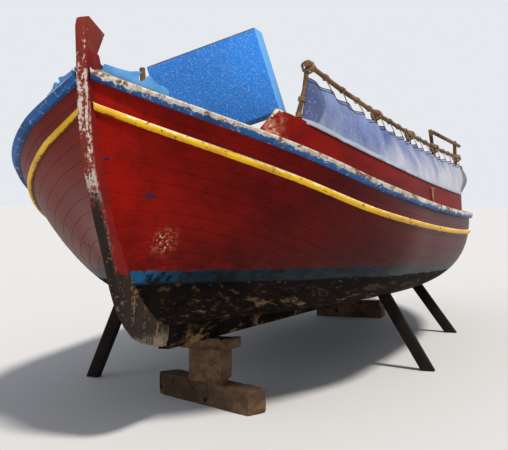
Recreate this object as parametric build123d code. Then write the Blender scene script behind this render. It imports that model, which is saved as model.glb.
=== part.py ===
from build123d import *
import math
import os

os.makedirs("parts", exist_ok=True)

# Double-ended wooden rowing boat with a foredeck, hauled out on timber.
# Boat frame in mm: s is the distance aft of the bow, y is to port, z is up from
# the underside of the keel. The last step turns the boat to its trim and heel.
STRAKES = 18
BILGE = 8
PLANK = 18
SEAM = 0.8
FIT = 0.4
DECK = 20
CAMBER = 20
DECK_PLANK = 118
SIDE_DECK = 118
RAIL_OUT = 25
RAIL_HIGH = 35
BAND_DOWN = 88
BAND_HIGH = 28
BAND_OUT = 15
KEEL_HALF = 24
KEEL_TOP = 112
FRAME_WIDE = 32
FRAME_DEEP = 36
FLOOR_DEEP = 34
WASH_IN = 46
WASH_HIGH = 130
POLE = 15
RAIL_UP = 360
THWART_WIDE = 230
THWART_THICK = 28
THWART_DOWN = 215
PINTLE = 7.5
HINGE = 86
TRIM = 3.3
HEEL = 1.3
BOW_HEIGHT = 377

# One row is one section of the planking, from the rabbet up to the sheer. The
# columns are distance aft, half-breadth and height of its four control points.
NET = [
    ((720, 22, 90), (380, 22, 120), (110, 22, 550), (58, 22, 985)),
    ((800, 24, 88), (640, 105, 150), (330, 215, 590), (250, 335, 868)),
    ((950, 24, 86), (900, 190, 120), (660, 450, 440), (600, 612, 760)),
    ((1200, 24, 85), (1190, 350, 105), (1070, 700, 340), (1050, 795, 668)),
    ((1600, 24, 84), (1600, 600, 92), (1555, 895, 250), (1550, 890, 625)),
    ((2050, 24, 84), (2050, 660, 90), (2050, 945, 215), (2050, 932, 610)),
    ((2550, 24, 84), (2550, 700, 90), (2550, 985, 200), (2550, 970, 603)),
    ((3050, 24, 84), (3050, 700, 90), (3050, 1008, 200), (3050, 992, 605)),
    ((3550, 24, 84), (3550, 650, 92), (3550, 995, 215), (3550, 982, 620)),
    ((4000, 24, 84), (4000, 540, 100), (4040, 905, 260), (4050, 912, 650)),
    ((4350, 24, 85), (4400, 360, 120), (4520, 700, 360), (4550, 765, 695)),
    ((4720, 24, 86), (4800, 190, 150), (4960, 415, 480), (5000, 530, 750)),
    ((4980, 24, 88), (5080, 85, 200), (5290, 190, 600), (5350, 268, 805)),
    ((5120, 22, 90), (5240, 22, 300), (5390, 22, 600), (5500, 22, 860)),
]
# Spans of the table that get a further section halfway, where the hull bends most.
HALVED = (0, 1, 2, 11, 12)


def add(a, b, k=1.0):
    return (a[0] + b[0] * k, a[1] + b[1] * k, a[2] + b[2] * k)


def sub(a, b):
    return (a[0] - b[0], a[1] - b[1], a[2] - b[2])


def unit(a):
    size = math.sqrt(a[0] ** 2 + a[1] ** 2 + a[2] ** 2)
    return (a[0] / size, a[1] / size, a[2] / size)


def cross(a, b):
    return (
        a[1] * b[2] - a[2] * b[1],
        a[2] * b[0] - a[0] * b[2],
        a[0] * b[1] - a[1] * b[0],
    )


def mix(a, b, t):
    return tuple(a[i] + (b[i] - a[i]) * t for i in range(len(a)))


def bezier(row, t):
    w = ((1 - t) ** 3, 3 * t * (1 - t) ** 2, 3 * t * t * (1 - t), t ** 3)
    return tuple(sum(w[i] * row[i][axis] for i in range(4)) for axis in range(3))


def girth_points(row, count):
    """Points of one section at equal steps of girth."""
    fine = [bezier(row, i / 80) for i in range(81)]
    run = [0.0]
    for i in range(80):
        run.append(run[-1] + math.dist(fine[i], fine[i + 1]))
    points = []
    for k in range(count + 1):
        want = run[-1] * k / count
        i = max(j for j in range(80) if run[j] <= want + 1e-9)
        points.append(mix(fine[i], fine[i + 1], (want - run[i]) / (run[i + 1] - run[i])))
    return points


def between(values, marks, mark):
    """Cubic through values at marks, read at mark."""
    i = max(j for j in range(len(marks) - 1) if marks[j] <= mark + 1e-9)
    lo, hi = max(i - 1, 0), min(i + 2, len(marks) - 1)
    run = marks[i + 1] - marks[i]
    t = (mark - marks[i]) / run
    rise_a = (values[i + 1] - values[lo]) / (marks[i + 1] - marks[lo]) * run
    rise_b = (values[hi] - values[i]) / (marks[hi] - marks[i]) * run
    return (
        (2 * t ** 3 - 3 * t * t + 1) * values[i]
        + (t ** 3 - 2 * t * t + t) * rise_a
        + (3 * t * t - 2 * t ** 3) * values[i + 1]
        + (t ** 3 - t * t) * rise_b
    )


def section(mark):
    """Four control points of the section whose sheer is that far aft."""
    marks = [row[3][0] for row in NET]
    return [
        tuple(between([row[i][axis] for row in NET], marks, mark) for axis in range(3))
        for i in range(4)
    ]


MARKS = [NET[0][3][0]]
for i, row in enumerate(NET[1:]):
    if i in HALVED:
        MARKS.append((MARKS[-1] + row[3][0]) / 2)
    MARKS.append(row[3][0])
OUTER = [girth_points(section(mark), STRAKES) for mark in MARKS]
LAST = len(OUTER) - 1


def inward(j, k):
    """Unit normal of the port planking, into the boat."""
    along = sub(OUTER[min(j + 1, LAST)][k], OUTER[max(j - 1, 0)][k])
    up = sub(OUTER[j][min(k + 1, STRAKES)], OUTER[j][max(k - 1, 0)])
    n = unit(cross(up, along))
    return n if n[1] < 0 or (k < 3 and n[2] > 0) else (-n[0], -n[1], -n[2])


NORMAL = [[inward(j, k) for k in range(STRAKES + 1)] for j in range(LAST + 1)]


def skin(j, k, depth):
    """Point of seam k at section j, that deep inside the outer face."""
    return add(OUTER[j][k], NORMAL[j][k], depth)


def on_line(line, s):
    """Half-breadth and height where a line of points passes the distance s."""
    s = min(max(s, line[0][0]), line[-1][0])
    i = max(j for j in range(len(line) - 1) if line[j][0] <= s)
    return mix(line[i], line[i + 1], (s - line[i][0]) / (line[i + 1][0] - line[i][0]))[1:]


def line_at(k, depth, s):
    return on_line([skin(j, k, depth) for j in range(LAST + 1)], s)


def width_at(s, z, depth=0.0):
    """Half-breadth at a height, that deep inside the outer face."""
    lines = [[skin(j, k, depth) for j in range(LAST + 1)] for k in range(STRAKES + 1)]
    points = [on_line(line, s) for line in lines if line[0][0] <= s <= line[-1][0]]
    for a, b in zip(points, points[1:]):
        if a[1] <= z <= b[1]:
            return a[0] + (b[0] - a[0]) * (z - a[1]) / (b[1] - a[1])
    return points[-1][0] if z > points[-1][1] else points[0][0]


def sheer(s):
    """Half-breadth and height of the deck edge at the outside of the planking."""
    y, z = on_line([OUTER[j][STRAKES] for j in range(LAST + 1)], s)
    return y, z + DECK


def stations(first, last, clear=30):
    """Both ends, and each section of the planking between them."""
    return [first] + [m for m in MARKS if first + clear < m < last - clear] + [last]


def deck_top(s, v):
    """Height of the cambered deck at s and a distance off the middle."""
    edge = [OUTER[j][STRAKES] for j in range(LAST + 1)]
    line = [(x, 0, z + DECK + CAMBER * (1 - min(abs(v) / y, 1) ** 2)) for x, y, z in edge]
    return on_line(line, s)[1]


def on_deck(s, v):
    """Height of the deck planks' upper faces, which are flat across each plank."""
    m = int(abs(v) // DECK_PLANK)
    a, b = deck_top(s, m * DECK_PLANK), deck_top(s, (m + 1) * DECK_PLANK)
    return a + (b - a) * (abs(v) / DECK_PLANK - m)


def flat_end(face):
    """Moves the later corners of an end onto the plane of its first three."""
    n = unit(cross(sub(face[1], face[0]), sub(face[2], face[0])))
    flat = list(face[:3])
    for p in face[3:]:
        away = sum(sub(p, face[0])[i] * n[i] for i in range(3))
        flat.append(add(p, n, -away))
    return flat


def strip(faces):
    """Solid through a row of sections of equal corners given in the boat frame."""
    faces = [flat_end(faces[0])] + faces[1:-1] + [flat_end(faces[-1])]
    wires = [
        Wire.make_polygon([Vector(-p[0], p[1], p[2]) for p in face], close=True)
        for face in reversed(faces)
    ]
    return Solid.make_loft(wires, True)


def mirrored(shape):
    return mirror(shape, about=Plane.XZ)


def side_profile(points, half):
    """Plate of a side view, given as distance aft and height."""
    outline = Polyline(*[(-s, z) for s, z in points], close=True)
    return extrude(Plane.XZ * make_face(outline), half, both=True)


def strake(k, gap=SEAM / 2, depth=PLANK, rows=None):
    faces = []
    for j in rows or range(LAST + 1):
        low, high = OUTER[j][k], OUTER[j][k + 1]
        wide = unit(sub(high, low))
        inner_low, inner_high = skin(j, k, depth), skin(j, k + 1, depth)
        if j in (0, LAST):
            # The hood end is flat, its inner edge a little narrower.
            mean = unit(add(NORMAL[j][k], NORMAL[j][k + 1]))
            inner_low = add(add(low, mean, depth), wide, 1.5 if gap > 0 else 0)
            inner_high = add(add(high, mean, depth), wide, -1.5 if gap > 0 else 0)
        if k == STRAKES - 1:
            # The inner corner of the sheer strake stays under the deck edge.
            for _ in range(3):
                over = inner_high[2] - sheer(inner_high[0])[1] + DECK
                inner_high = add(inner_high, wide, -max(over, 0) / wide[2])
        faces.append(
            [
                add(low, wide, gap),
                add(high, wide, -gap),
                add(inner_high, wide, -gap),
                add(inner_low, wide, gap),
            ]
        )
    return strip(faces)


def octagon_bar(points, radius):
    """Eight-sided pole along points (s, y, z) that run mostly fore and aft."""
    faces = []
    for i, p in enumerate(points):
        d = unit(sub(points[min(i + 1, len(points) - 1)], points[max(i - 1, 0)]))
        side = unit((-d[1], d[0], 0))
        up = cross(d, side)
        up = up if up[2] > 0 else (-up[0], -up[1], -up[2])
        size = radius / math.cos(math.pi / 8)
        turns = [math.radians(22.5 + 45 * c) for c in range(8)]
        faces.append(
            [add(add(p, side, size * math.cos(t)), up, size * math.sin(t)) for t in turns]
        )
    return strip(faces)


def rod(a, b, radius):
    """Round bar between two points (s, y, z)."""
    start = Vector(-a[0], a[1], a[2])
    end = Vector(-b[0], b[1], b[2])
    return Pos(*start) * Plane((0, 0, 0), z_dir=end - start).location * Cylinder(
        radius, (end - start).length, align=(Align.CENTER, Align.CENTER, Align.MIN)
    )


def octagon_post(a, b, radius, top):
    """Eight-sided tapered post between two points (s, y, z), flat to the side."""
    start, end = Vector(-a[0], a[1], a[2]), Vector(-b[0], b[1], b[2])
    z_dir = (end - start).normalized()
    x_dir = (Vector(0, 1, 0) - z_dir * z_dir.Y).normalized()
    foot = Plane(origin=start, x_dir=x_dir, z_dir=z_dir)
    head = Plane(origin=end, x_dir=x_dir, z_dir=z_dir)
    rings = [
        plane * RegularPolygon(size, 8, major_radius=False, rotation=22.5)
        for plane, size in ((foot, radius), (head, top))
    ]
    return loft(rings)


def block(s0, s1, y0, y1, z0, z1):
    return Pos(-(s0 + s1) / 2, (y0 + y1) / 2, (z0 + z1) / 2) * Box(
        abs(s1 - s0), abs(y1 - y0), abs(z1 - z0)
    )


pieces = {}

# Planking, split at the turn of the bilge.
port = [strake(k) for k in range(STRAKES)]
starboard = [mirrored(plank) for plank in port]
pieces["bottom_planking_port"] = port[:BILGE]
pieces["topside_planking_port"] = port[BILGE:]
pieces["bottom_planking_starboard"] = starboard[:BILGE]
pieces["topside_planking_starboard"] = starboard[BILGE:]

# Stem, keel and sternpost. The stem is lofted through six-sided sections and
# its rabbet is cut by the ends of the strakes themselves.
STEM = [
    # distance aft and height of the front face, then of the rabbet, then of the back
    (700, 8, 720, 92, 745, 150),
    (590, 26, 605, 105, 640, 172),
    (447, 65, 480, 150, 540, 215),
    (304, 178, 345, 245, 420, 300),
    (219, 340, 262, 372, 345, 410),
    (140, 500, 185, 525, 262, 552),
    (67, 675, 115, 690, 190, 705),
    (30, 840, 77, 845, 152, 850),
    (16, 990, 62, 990, 135, 990),
    (14, 1075, 55, 1070, 100, 1065),
]
STEM_FRONT = 17
STEM_FOOT = 700


def stem_row(at):
    marks = list(range(len(STEM)))
    return [between([row[i] for row in STEM], marks, at) for i in range(6)]


def hexagon(row):
    """Six corners of the stem: flat back, rabbet at each side, narrower front."""
    sf, zf, sr, zr, sb, zb = row
    return [
        (sb, -KEEL_HALF, zb), (sb, KEEL_HALF, zb), (sr, KEEL_HALF, zr),
        (sf, STEM_FRONT, zf), (sf, -STEM_FRONT, zf), (sr, -KEEL_HALF, zr),
    ]


at_rows = [0, 0.5, 1, 1.5, 2, 2.5, 3, 3.5, 4, 5, 6, 7, 8, 9]
stem = strip([hexagon(stem_row(at)) for at in at_rows])
HEAD = [
    (14, 1050), (8, 1150), (18, 1178), (40, 1187),
    (154, 1150), (104, 1075), (98, 1050),
]
stem = stem + side_profile(HEAD, STEM_FRONT)
stem = stem - block(STEM_FOOT, STEM_FOOT + 200, -60, 60, -20, 400)

STERN_LEAN = 0.4935


def stern_line(z, aft):
    """Distance aft of the raked stern rabbet line at a height, moved aft."""
    return 5120 + (z - 90) * STERN_LEAN + aft


POST_FRONT = 5000
POST_AFT = 62
post = side_profile(
    [
        (POST_FRONT + FIT, 0), (stern_line(0, POST_AFT), 0),
        (stern_line(975, POST_AFT), 975), (stern_line(975, -62), 975),
        (stern_line(150, -75), 150), (POST_FRONT + FIT, 118),
    ],
    KEEL_HALF,
)
half = KEEL_HALF - 0.6
keel = block(STEM_FOOT + FIT, POST_FRONT, -half, half, 0, KEEL_TOP)
for k in range(STRAKES):
    hood = strake(k, -0.3 if k else 0.0, PLANK + FIT, range(5))
    tail = strake(k, -0.3, PLANK + FIT, range(LAST - 4, LAST + 1))
    stem = stem - hood - mirrored(hood)
    post = post - tail - mirrored(tail)
garboard = strake(0, 0.0, PLANK + FIT)
keel = keel - garboard - mirrored(garboard)
pieces["stem"] = stem
pieces["keel"] = keel
pieces["sternpost"] = post

# Frames, one pair at each station, against the inside of the planking.
FRAME_AT = [620, 840, 1110, 1400, 1700, 2040, 2370, 2710, 3050, 3390, 3730, 4070]
FRAME_AT += [4400, 4720]


def first_seam(s):
    """Lowest seam whose line still runs past this distance aft."""
    k = 0
    while skin(0, k, PLANK)[0] + 100 > s or skin(LAST, k, PLANK)[0] - 100 < s:
        k += 1
    return k


def from_breadth(points, least):
    """The same points, with those inside a half-breadth moved up the line to it."""
    i = 0
    while points[i + 1][0] <= least:
        i += 1
    a, b = points[i], points[i + 1]
    if a[0] < least:
        a = mix(a, b, (least - a[0]) / (b[0] - a[0]))
    return [mix(a, b, m / (i + 1)) for m in range(i + 1)] + points[i + 1:]


def frame_inside(s, first=None):
    """Half-breadth and height along the inner face of the frame at s."""
    first = first_seam(s) if first is None else first
    seams = sorted({first, STRAKES} | set(range(first, STRAKES, 3)))
    points = [line_at(k, PLANK + FRAME_DEEP, s) for k in seams if k < STRAKES]
    top = sheer(s)[1] - DECK - 2 * FIT
    points.append((width_at(s, top, PLANK + FRAME_DEEP), top))
    points = from_breadth(points, KEEL_HALF + FIT if first else 0.4)
    if first == 0:
        points[0] = (0.4, max(points[0][1], KEEL_TOP + FLOOR_DEEP))
    return points


def frame_face(s, first):
    """Outline of half a frame at s, with its floor over the keel."""
    snug = PLANK + FIT + (1.8 if s < 700 else 0.7 if s < 900 else 0)
    outside = [line_at(k, snug, s) for k in range(first, STRAKES)]
    top = sheer(s)[1] - DECK - 2 * FIT
    outside.append((width_at(s, top, snug), top))
    side = KEEL_HALF + FIT
    outside = from_breadth(outside, side)
    if first == 0:
        base = max(KEEL_TOP + FIT, outside[0][1] + FIT)
        outside = [(0.4, base), (side, base)] + outside
    return [(s, y, z) for y, z in outside + frame_inside(s, first)[::-1]]


def height_inside(s, y):
    """Height of the frame's inner face at a half-breadth low in the boat."""
    points = frame_inside(s)
    for a, b in zip(points, points[1:]):
        if a[0] <= y <= b[0]:
            return a[1] + (b[1] - a[1]) * (y - a[0]) / (b[0] - a[0])
    return points[-1][1]


def breadth_inside(s, z):
    """Half-breadth of the frame's inner face at a height."""
    points = frame_inside(s)
    for a, b in zip(points, points[1:]):
        if a[1] <= z <= b[1]:
            return a[0] + (b[0] - a[0]) * (z - a[1]) / (b[1] - a[1])
    return points[-1][0]


frames = []
for s in FRAME_AT:
    first = first_seam(s)
    rib = strip([frame_face(s + d, first) for d in (-FRAME_WIDE / 2, FRAME_WIDE / 2)])
    frames += [rib, mirrored(rib)]
pieces["frames"] = frames

# Rub rail on the sheer strake, and the half-round band below it.


def below_sheer(j, down):
    """Point and normal on the outer face of section j, that far below the sheer."""
    for k in range(STRAKES, 0, -1):
        step = math.dist(OUTER[j][k], OUTER[j][k - 1])
        if down <= step:
            t = down / step
            n = unit(mix(NORMAL[j][k], NORMAL[j][k - 1], t))
            return mix(OUTER[j][k], OUTER[j][k - 1], t), n
        down -= step


rail, band = [], []
for j in range(LAST + 1):
    top, n = add(OUTER[j][STRAKES], (0, 0, DECK)), NORMAL[j][STRAKES]
    low = below_sheer(j, RAIL_HIGH - DECK)[0]
    out = unit((n[0], n[1], 0))
    inner = [add(p, n, -FIT) for p in (top, low, OUTER[j][STRAKES])]
    rail.append(
        [
            inner[0], add(inner[0], out, -RAIL_OUT),
            add(inner[1], out, 6 - RAIL_OUT), inner[1], inner[2],
        ]
    )
    high, n = below_sheer(j, BAND_DOWN)
    low = below_sheer(j, BAND_DOWN + BAND_HIGH)[0]
    mid = below_sheer(j, BAND_DOWN + BAND_HIGH / 2)[0]
    a, b, mid = [add(p, n, -2.4 * FIT) for p in (high, low, mid)]
    band.append(
        [
            a, add(mix(a, b, 0.2), n, -BAND_OUT * 0.85), add(mid, n, -BAND_OUT),
            add(mix(a, b, 0.8), n, -BAND_OUT * 0.85), b, mid,
        ]
    )
rub = strip(rail) - post - stem
yellow = strip(band) - post - stem
pieces["rub_rail_port"] = rub
pieces["rub_rail_starboard"] = mirrored(rub)
pieces["yellow_strake_port"] = yellow
pieces["yellow_strake_starboard"] = mirrored(yellow)

# Foredeck and after deck, in fore-and-aft planks cut to the hull's outline. The
# foredeck is notched round the stem and open at its hatch.
FORE_FROM, FORE_TO = 72, 1080
AFT_FROM, AFT_TO = 4560, 5412
HATCH = (760, 1020, 220)
COAMING = 18
COAMING_UP = 75


def deck_planks(first, last, hole):
    edge = [(s, sheer(s)[0] - 1) for s in stations(first, last)]
    outline = [(-s, y) for s, y in edge] + [(-s, -y) for s, y in reversed(edge)]
    tall = extrude(Pos(0, 0, 400) * make_face(Polyline(*outline, close=True)), 900)
    planks = []
    for m in range(math.ceil(max(y for s, y in edge) / DECK_PLANK)):
        faces = []
        for s in stations(first - 4, last + 4):
            one, two = m * DECK_PLANK + SEAM / 2, (m + 1) * DECK_PLANK - SEAM / 2
            high = [deck_top(s, v) for v in (one, two)]
            low = [v - DECK + FIT for v in high]
            faces.append(
                [(s, one, high[0]), (s, two, high[1]), (s, two, low[1]), (s, one, low[0])]
            )
        plank = (strip(faces) & tall) - hole
        planks += [plank, mirrored(plank)]
    return planks


notch = block(0, 140, -KEEL_HALF - 1, KEEL_HALF + 1, 700, 1200)
hatch_hole = block(*HATCH[:2], -HATCH[2], HATCH[2], 600, 1000)
pieces["foredeck"] = deck_planks(FORE_FROM, FORE_TO, notch + hatch_hole)
pieces["after_deck"] = deck_planks(AFT_FROM, AFT_TO, block(5460, 5600, -25, 25, 0, 1200))

# Coaming that lines the hatch from the deck beams up.
coaming = []
s0, s1, out = HATCH[0] + FIT, HATCH[1] - FIT, HATCH[2] - FIT
faces = []
for s in (s0, s1):
    low, high = sheer(s)[1] - DECK - 6, deck_top(s, 0) + COAMING_UP
    faces.append([(s, out - COAMING, low), (s, out, low), (s, out, high), (s, out - COAMING, high)])
side = strip(faces)
coaming += [side, mirrored(side)]
reach = out - COAMING - FIT
for s, a, b in ((s0, s0, s0 + COAMING), (s1, s1 - COAMING, s1)):
    low = sheer(s)[1] - DECK - 6
    top = min(deck_top(v, 0) for v in (a, b)) + COAMING_UP
    coaming.append(block(a, b, -reach, reach, low, top))
pieces["hatch_coaming"] = coaming

# Beams under both decks, and a breasthook at each end.
beams = []
for s in (330, 510, 740, 1050, 4590, 4800, 4990, 5170):
    half = min(width_at(s + d, sheer(s)[1] - 70, PLANK) for d in (-16, 16)) - 3
    near = min(sheer(s + d)[1] for d in (-16, 16)) - 62
    faces = []
    for y in (-half, -half / 2, 0, half / 2, half):
        high = [deck_top(s + d, y) - DECK - 0.5 for d in (-16, 16)]
        faces.append([(s - 16, y, high[0]), (s + 16, y, high[1]), (s + 16, y, near), (s - 16, y, near)])
    beams.append(strip(faces))
pieces["deck_beams"] = beams


def breasthook(first, last, deep):
    faces = []
    for s in (first, (first + last) / 2, last):
        top = sheer(s)[1] - DECK - FIT
        y = width_at(s, top - deep, PLANK) - 1.2
        faces.append([(s, -y, top - deep), (s, y, top - deep), (s, y, top), (s, -y, top)])
    return strip(faces)


pieces["breasthook"] = breasthook(156, 262, 40)
pieces["breasthook_aft"] = breasthook(5250, 5380, 40)

# Covering boards along the open part of the boat.
side_deck = []
for s in stations(FORE_TO + 12, AFT_FROM - 12):
    y, z = sheer(s)
    y, low = y - 1, z - DECK + FIT
    side_deck.append([(s, y, low), (s, y, z), (s, y - SIDE_DECK, z), (s, y - SIDE_DECK, low)])
pieces["covering_board_port"] = strip(side_deck)
pieces["covering_board_starboard"] = mirrored(strip(side_deck))


def floor_height(s, v):
    """Height of the foredeck or the covering board, whichever is at s."""
    return on_deck(s, v) if s < FORE_TO + 6 else sheer(s)[1]


# Washboard on the port side, sloped down to the deck at its forward end.
wash = []
for s in stations(480, 3900):
    if s == 480:
        marks = ((480, 24), (550, WASH_HIGH))
    elif abs(s - 1050) < 1:
        marks = ((1050, WASH_HIGH), (FORE_TO + 5, WASH_HIGH), (FORE_TO + 11, WASH_HIGH))
    else:
        marks = ((s, WASH_HIGH),)
    for at, high in marks:
        y, z = sheer(at)
        y = y - WASH_IN
        base = floor_height(at, y - 16) + 2 * FIT
        wash.append([(at, y, base), (at, y - 16, base), (at, y - 20, z + high), (at, y - 4, z + high)])
pieces["washboard_port"] = strip(wash)

# Pole rail above the washboard, on five posts, with a canvas laced under it. The
# columns are distance aft and how far the rail lies inside the deck edge.
RAIL_LINE = [(700, 66), (970, 100), (1390, 122), (2000, 116), (2600, 105), (3400, 56)]


def rail_point(s):
    y, z = sheer(s)
    return (s, y - between([r[1] for r in RAIL_LINE], [r[0] for r in RAIL_LINE], s), z + RAIL_UP)


RAIL = [rail_point(s) for s in (700, 970, 1180, 1390, 1700, 2000, 2300, 2600, 3000, 3400)]
pieces["canvas_rail_port"] = octagon_bar(RAIL, POLE)


def on_rail(s):
    return (s, *on_line(RAIL, s))


POSTS = [
    # distance aft of the head and of the foot, and how far it stands over the rail
    (735, 700, 34),
    (1425, 1425, 34),
    (2035, 2035, 34),
    (2640, 2640, 112),
    (3350, 3370, 112),
]
SHORT_POLE = 11


def beside_rail(s, gap):
    along = sub(on_rail(s + 5), on_rail(s - 5))
    return add(on_rail(s), unit((along[1], -along[0], 0)), gap)


posts = []
for s, foot, over in POSTS:
    past = beside_rail(s, 2 * POLE + (2 if s > 3000 else 4) * FIT)
    y = sheer(foot)[0] - WASH_IN - (40 if s > 1000 else 34)
    base = (foot, y, floor_height(foot, y))
    lean = unit(sub(past, base))
    base = add(base, (0, 0, POLE * math.hypot(lean[0], lean[1]) * 1.1 + 2 * FIT))
    posts.append(octagon_post(base, add(past, unit(sub(past, base)), over), POLE, POLE))
pieces["canvas_stanchions_port"] = posts
cloth = []
for s in stations(710, 3340):
    foot, head = sheer(s), on_rail(s + 60)
    low, y = foot[1] + WASH_HIGH - 14, foot[0] - WASH_IN + 1.4
    cloth.append(
        [(s, y + 3, low), add(head, (0, 24, -40)), add(head, (0, 21, -40)), (s, y, low)]
    )
pieces["canvas_port"] = strip(cloth)
ends = []
for s, gap in ((2570, FIT), (3390, -1.2 * FIT)):
    ends.append(add(beside_rail(s, POLE - SHORT_POLE + gap), (0, 0, 86)))
ends[1] = add(ends[1], unit(sub(ends[1], ends[0])), 60)
pieces["short_pole_port"] = octagon_bar(ends, SHORT_POLE)

# Thwarts on the risers inside the frames. The fore and after ones have a knee over
# each end, and the middle one lifts out.
riser = []
for s in stations(1480, 4020):
    z = sheer(s)[1] - THWART_DOWN
    high, low = breadth_inside(s, z) - 1.2, breadth_inside(s, z - 60) - 1.2
    riser.append([(s, low, z - 60), (s, low - 18, z - 60), (s, high - 18, z), (s, high, z)])
pieces["riser_port"] = strip(riser)
pieces["riser_starboard"] = mirrored(strip(riser))
knees = []
for name, s, aside in (("forward", 1900, -60), ("middle", 2750, 0), ("aft", 3640, 40)):
    ends = (s - THWART_WIDE / 2, s + THWART_WIDE / 2)
    z = max(sheer(v)[1] for v in ends) - THWART_DOWN + FIT
    y = min(breadth_inside(v, z) for v in ends) - 1
    pieces["thwart_" + name] = block(*ends, -y, y, z, z + THWART_THICK)
    if name == "middle":
        continue
    foot = z + THWART_THICK + FIT
    top = min(sheer(s + aside + d)[1] for d in (-14, 14)) - DECK
    faces = []
    for v in (s + aside - 14, s + aside + 14):
        outer = [(width_at(v, h, PLANK) - 0.8, h) for h in (foot, (foot + top) / 2, top)]
        inner = [(outer[2][0] - 70, top), (outer[1][0] - 75, (foot + top) / 2 - 20)]
        inner.append((y - 150, foot))
        faces.append([(v, a, h) for a, h in outer + inner])
    knee = strip(faces)
    knees += [knee, mirrored(knee)]
pieces["thwart_knees"] = knees

# Floorboards on the frames, two on each side of the middle.
boards = []
for y0, y1 in ((4, 130), (140, 262)):
    faces = []
    for s in FRAME_AT[3:12]:
        low = [height_inside(s, y) + FIT for y in (y0, y1)]
        faces.append([(s, y0, low[0]), (s, y1, low[1]), (s, y1, low[1] + 14), (s, y0, low[0] + 14)])
    board = strip(faces)
    boards += [board, mirrored(board)]
pieces["floorboards"] = boards

# Rudder hung on two pintles, with its tiller through the head.
LEAN = math.degrees(math.atan(STERN_LEAN))


def hinge_point(z):
    return (stern_line(z, HINGE), 0, z)


low, high = hinge_point(40)[0], hinge_point(1120)[0]
BLADE = [
    (low, 40), (5420, 40), (5590, 300), (5730, 640), (stern_line(985, HINGE) + 95, 985),
    (high + 95, 1120), (high, 1120),
]
blade = side_profile(BLADE, 15)
blade = blade + octagon_post(hinge_point(44), hinge_point(1116), 15, 15)
gudgeons, pintles = [], []
for z in (230, 690):
    at = Pos(-hinge_point(z)[0], 0, z) * Rot(0, -LEAN, 0)
    blade = blade - at * Pos(0, 0, 4) * Box(60, 60, 66)
    ring = Cylinder(PINTLE * 2, 16) - Cylinder(PINTLE + 0.05, 16)
    arm = Pos(39, 0, 0) * Box(54, 56, 16) - Pos(70, 0, 0) * Box(98, 2 * KEEL_HALF + 2 * FIT, 20)
    gudgeons.append(at * (ring + (arm - Cylinder(PINTLE + 4, 30))))
    pin = at * Pos(0, 0, -4) * Cylinder(PINTLE, 62)
    blade = blade - pin
    pintles.append(pin)
pieces["gudgeons"] = gudgeons
pieces["pintles"] = pintles
TILLER = 17
tiller_from, tiller_to = (stern_line(1062, HINGE + 110), 0, 1062), (4850, 0, 1120)
pieces["rudder"] = blade - rod(tiller_from, tiller_to, TILLER + 0.2)
pieces["tiller"] = rod(tiller_from, tiller_to, TILLER)

# Loose hatch cover, stood on one corner in front of the coaming.
COVER = (120, 461, 338)
COVER_WALL = 18
cover = Pos(0, COVER[1] / 2, COVER[2] / 2) * Box(*COVER)
hollow = Box(COVER[0], COVER[1] - 2 * COVER_WALL, COVER[2] - 2 * COVER_WALL)
cover = cover - Pos(-COVER_WALL, COVER[1] / 2, COVER[2] / 2) * hollow
cover = Pos(-COVER[0] / 2, 0, 0) * cover
cover = Rot(0, 0, 4.5) * Rot(0, 4.6, 0) * Rot(16.3, 0, 0) * cover
pieces["hatch_cover"] = Pos(-611, 72, on_deck(611, 72) + FIT) * cover

# Bow chocks: a board on edge along each side of the stem, with a rope notch. The
# columns are distance along the board and height above the deck edge.
CHOCK = [
    (0, 0), (0, 26), (50, 29), (90, 34), (117, 46), (129, 47), (124, 30), (128, 18), (137, 16),
    (146, 25), (151, 42), (161, 46), (172, 38), (186, 29), (224, 27), (237, 19), (243, 4), (243, 0),
]
a, b = (76, sheer(76)[0] - 8), (196, sheer(196)[0] - 12)
bend = math.degrees(math.atan2(b[1] - a[1], -(b[0] - a[0])))
size = math.dist(a, b)
spots = [mix(a, b, t / 8) for t in range(9)]
spots = [(s + 18 * (b[1] - a[1]) / size, y - 18 * (b[0] - a[0]) / size) for s, y in spots]
tops = [on_deck(s, y) for s, y in spots]
over = max(tops[t] - (tops[0] + (tops[-1] - tops[0]) * t / 8) for t in range(9))
foot = max(tops[0] + over, on_deck(*a)) + 2 * FIT
rise = math.degrees(math.atan2(tops[-1] - tops[0], size))
scroll = make_face(Polyline(*CHOCK, close=True))
chock = extrude(Plane.XZ * scroll, 18)
chock = Pos(-a[0], a[1], foot) * Rot(0, 0, bend) * Rot(0, -rise, 0) * Pos(0, 18, 0) * chock
pieces["bow_chock_port"] = chock
pieces["bow_chock_starboard"] = mirrored(chock)

# Ring on its bolt at the back of the stem, and a peg on the foredeck.
RING_AT = 1034
ring = Plane.YZ * (RegularPolygon(23, 12) - RegularPolygon(16, 12))
bolt = octagon_post((117, 0, RING_AT), (141, 0, RING_AT), 5, 5)
bolt = bolt + octagon_post((139, 0, RING_AT), (144, 0, RING_AT), 9, 8)
pieces["stem_ring"] = [bolt, Pos(-137, 0, RING_AT - 10.1) * extrude(ring, 6)]
peg_foot = (284, 110, on_deck(284, 110) + 4.1)
pieces["bow_peg"] = octagon_post(peg_foot, (300, 92, 1056), 12, 10)

tilt = Pos(0, 0, BOW_HEIGHT) * Rot(0, -TRIM, 0) * Rot(HEEL, 0, 0)
placed = {}
for name, shape in pieces.items():
    group = shape if isinstance(shape, list) else [shape]
    placed[name] = [tilt * solid for item in group for solid in item.solids()]

# Timber under the keel and props at the bilges, in the upright frame.


def under(s, y=0.0, z=0.0):
    return (tilt * Pos(-s, y, z)).position


def crib_pad(s, wide, deep):
    """Pad square under the keel, and the space above its underside."""
    pad = tilt * block(s - 60, s + 60, -wide / 2, wide / 2, -deep, -FIT)
    above = tilt * block(s - 600, s + 600, -900, 900, -deep - FIT, 900)
    return pad, above


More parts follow.
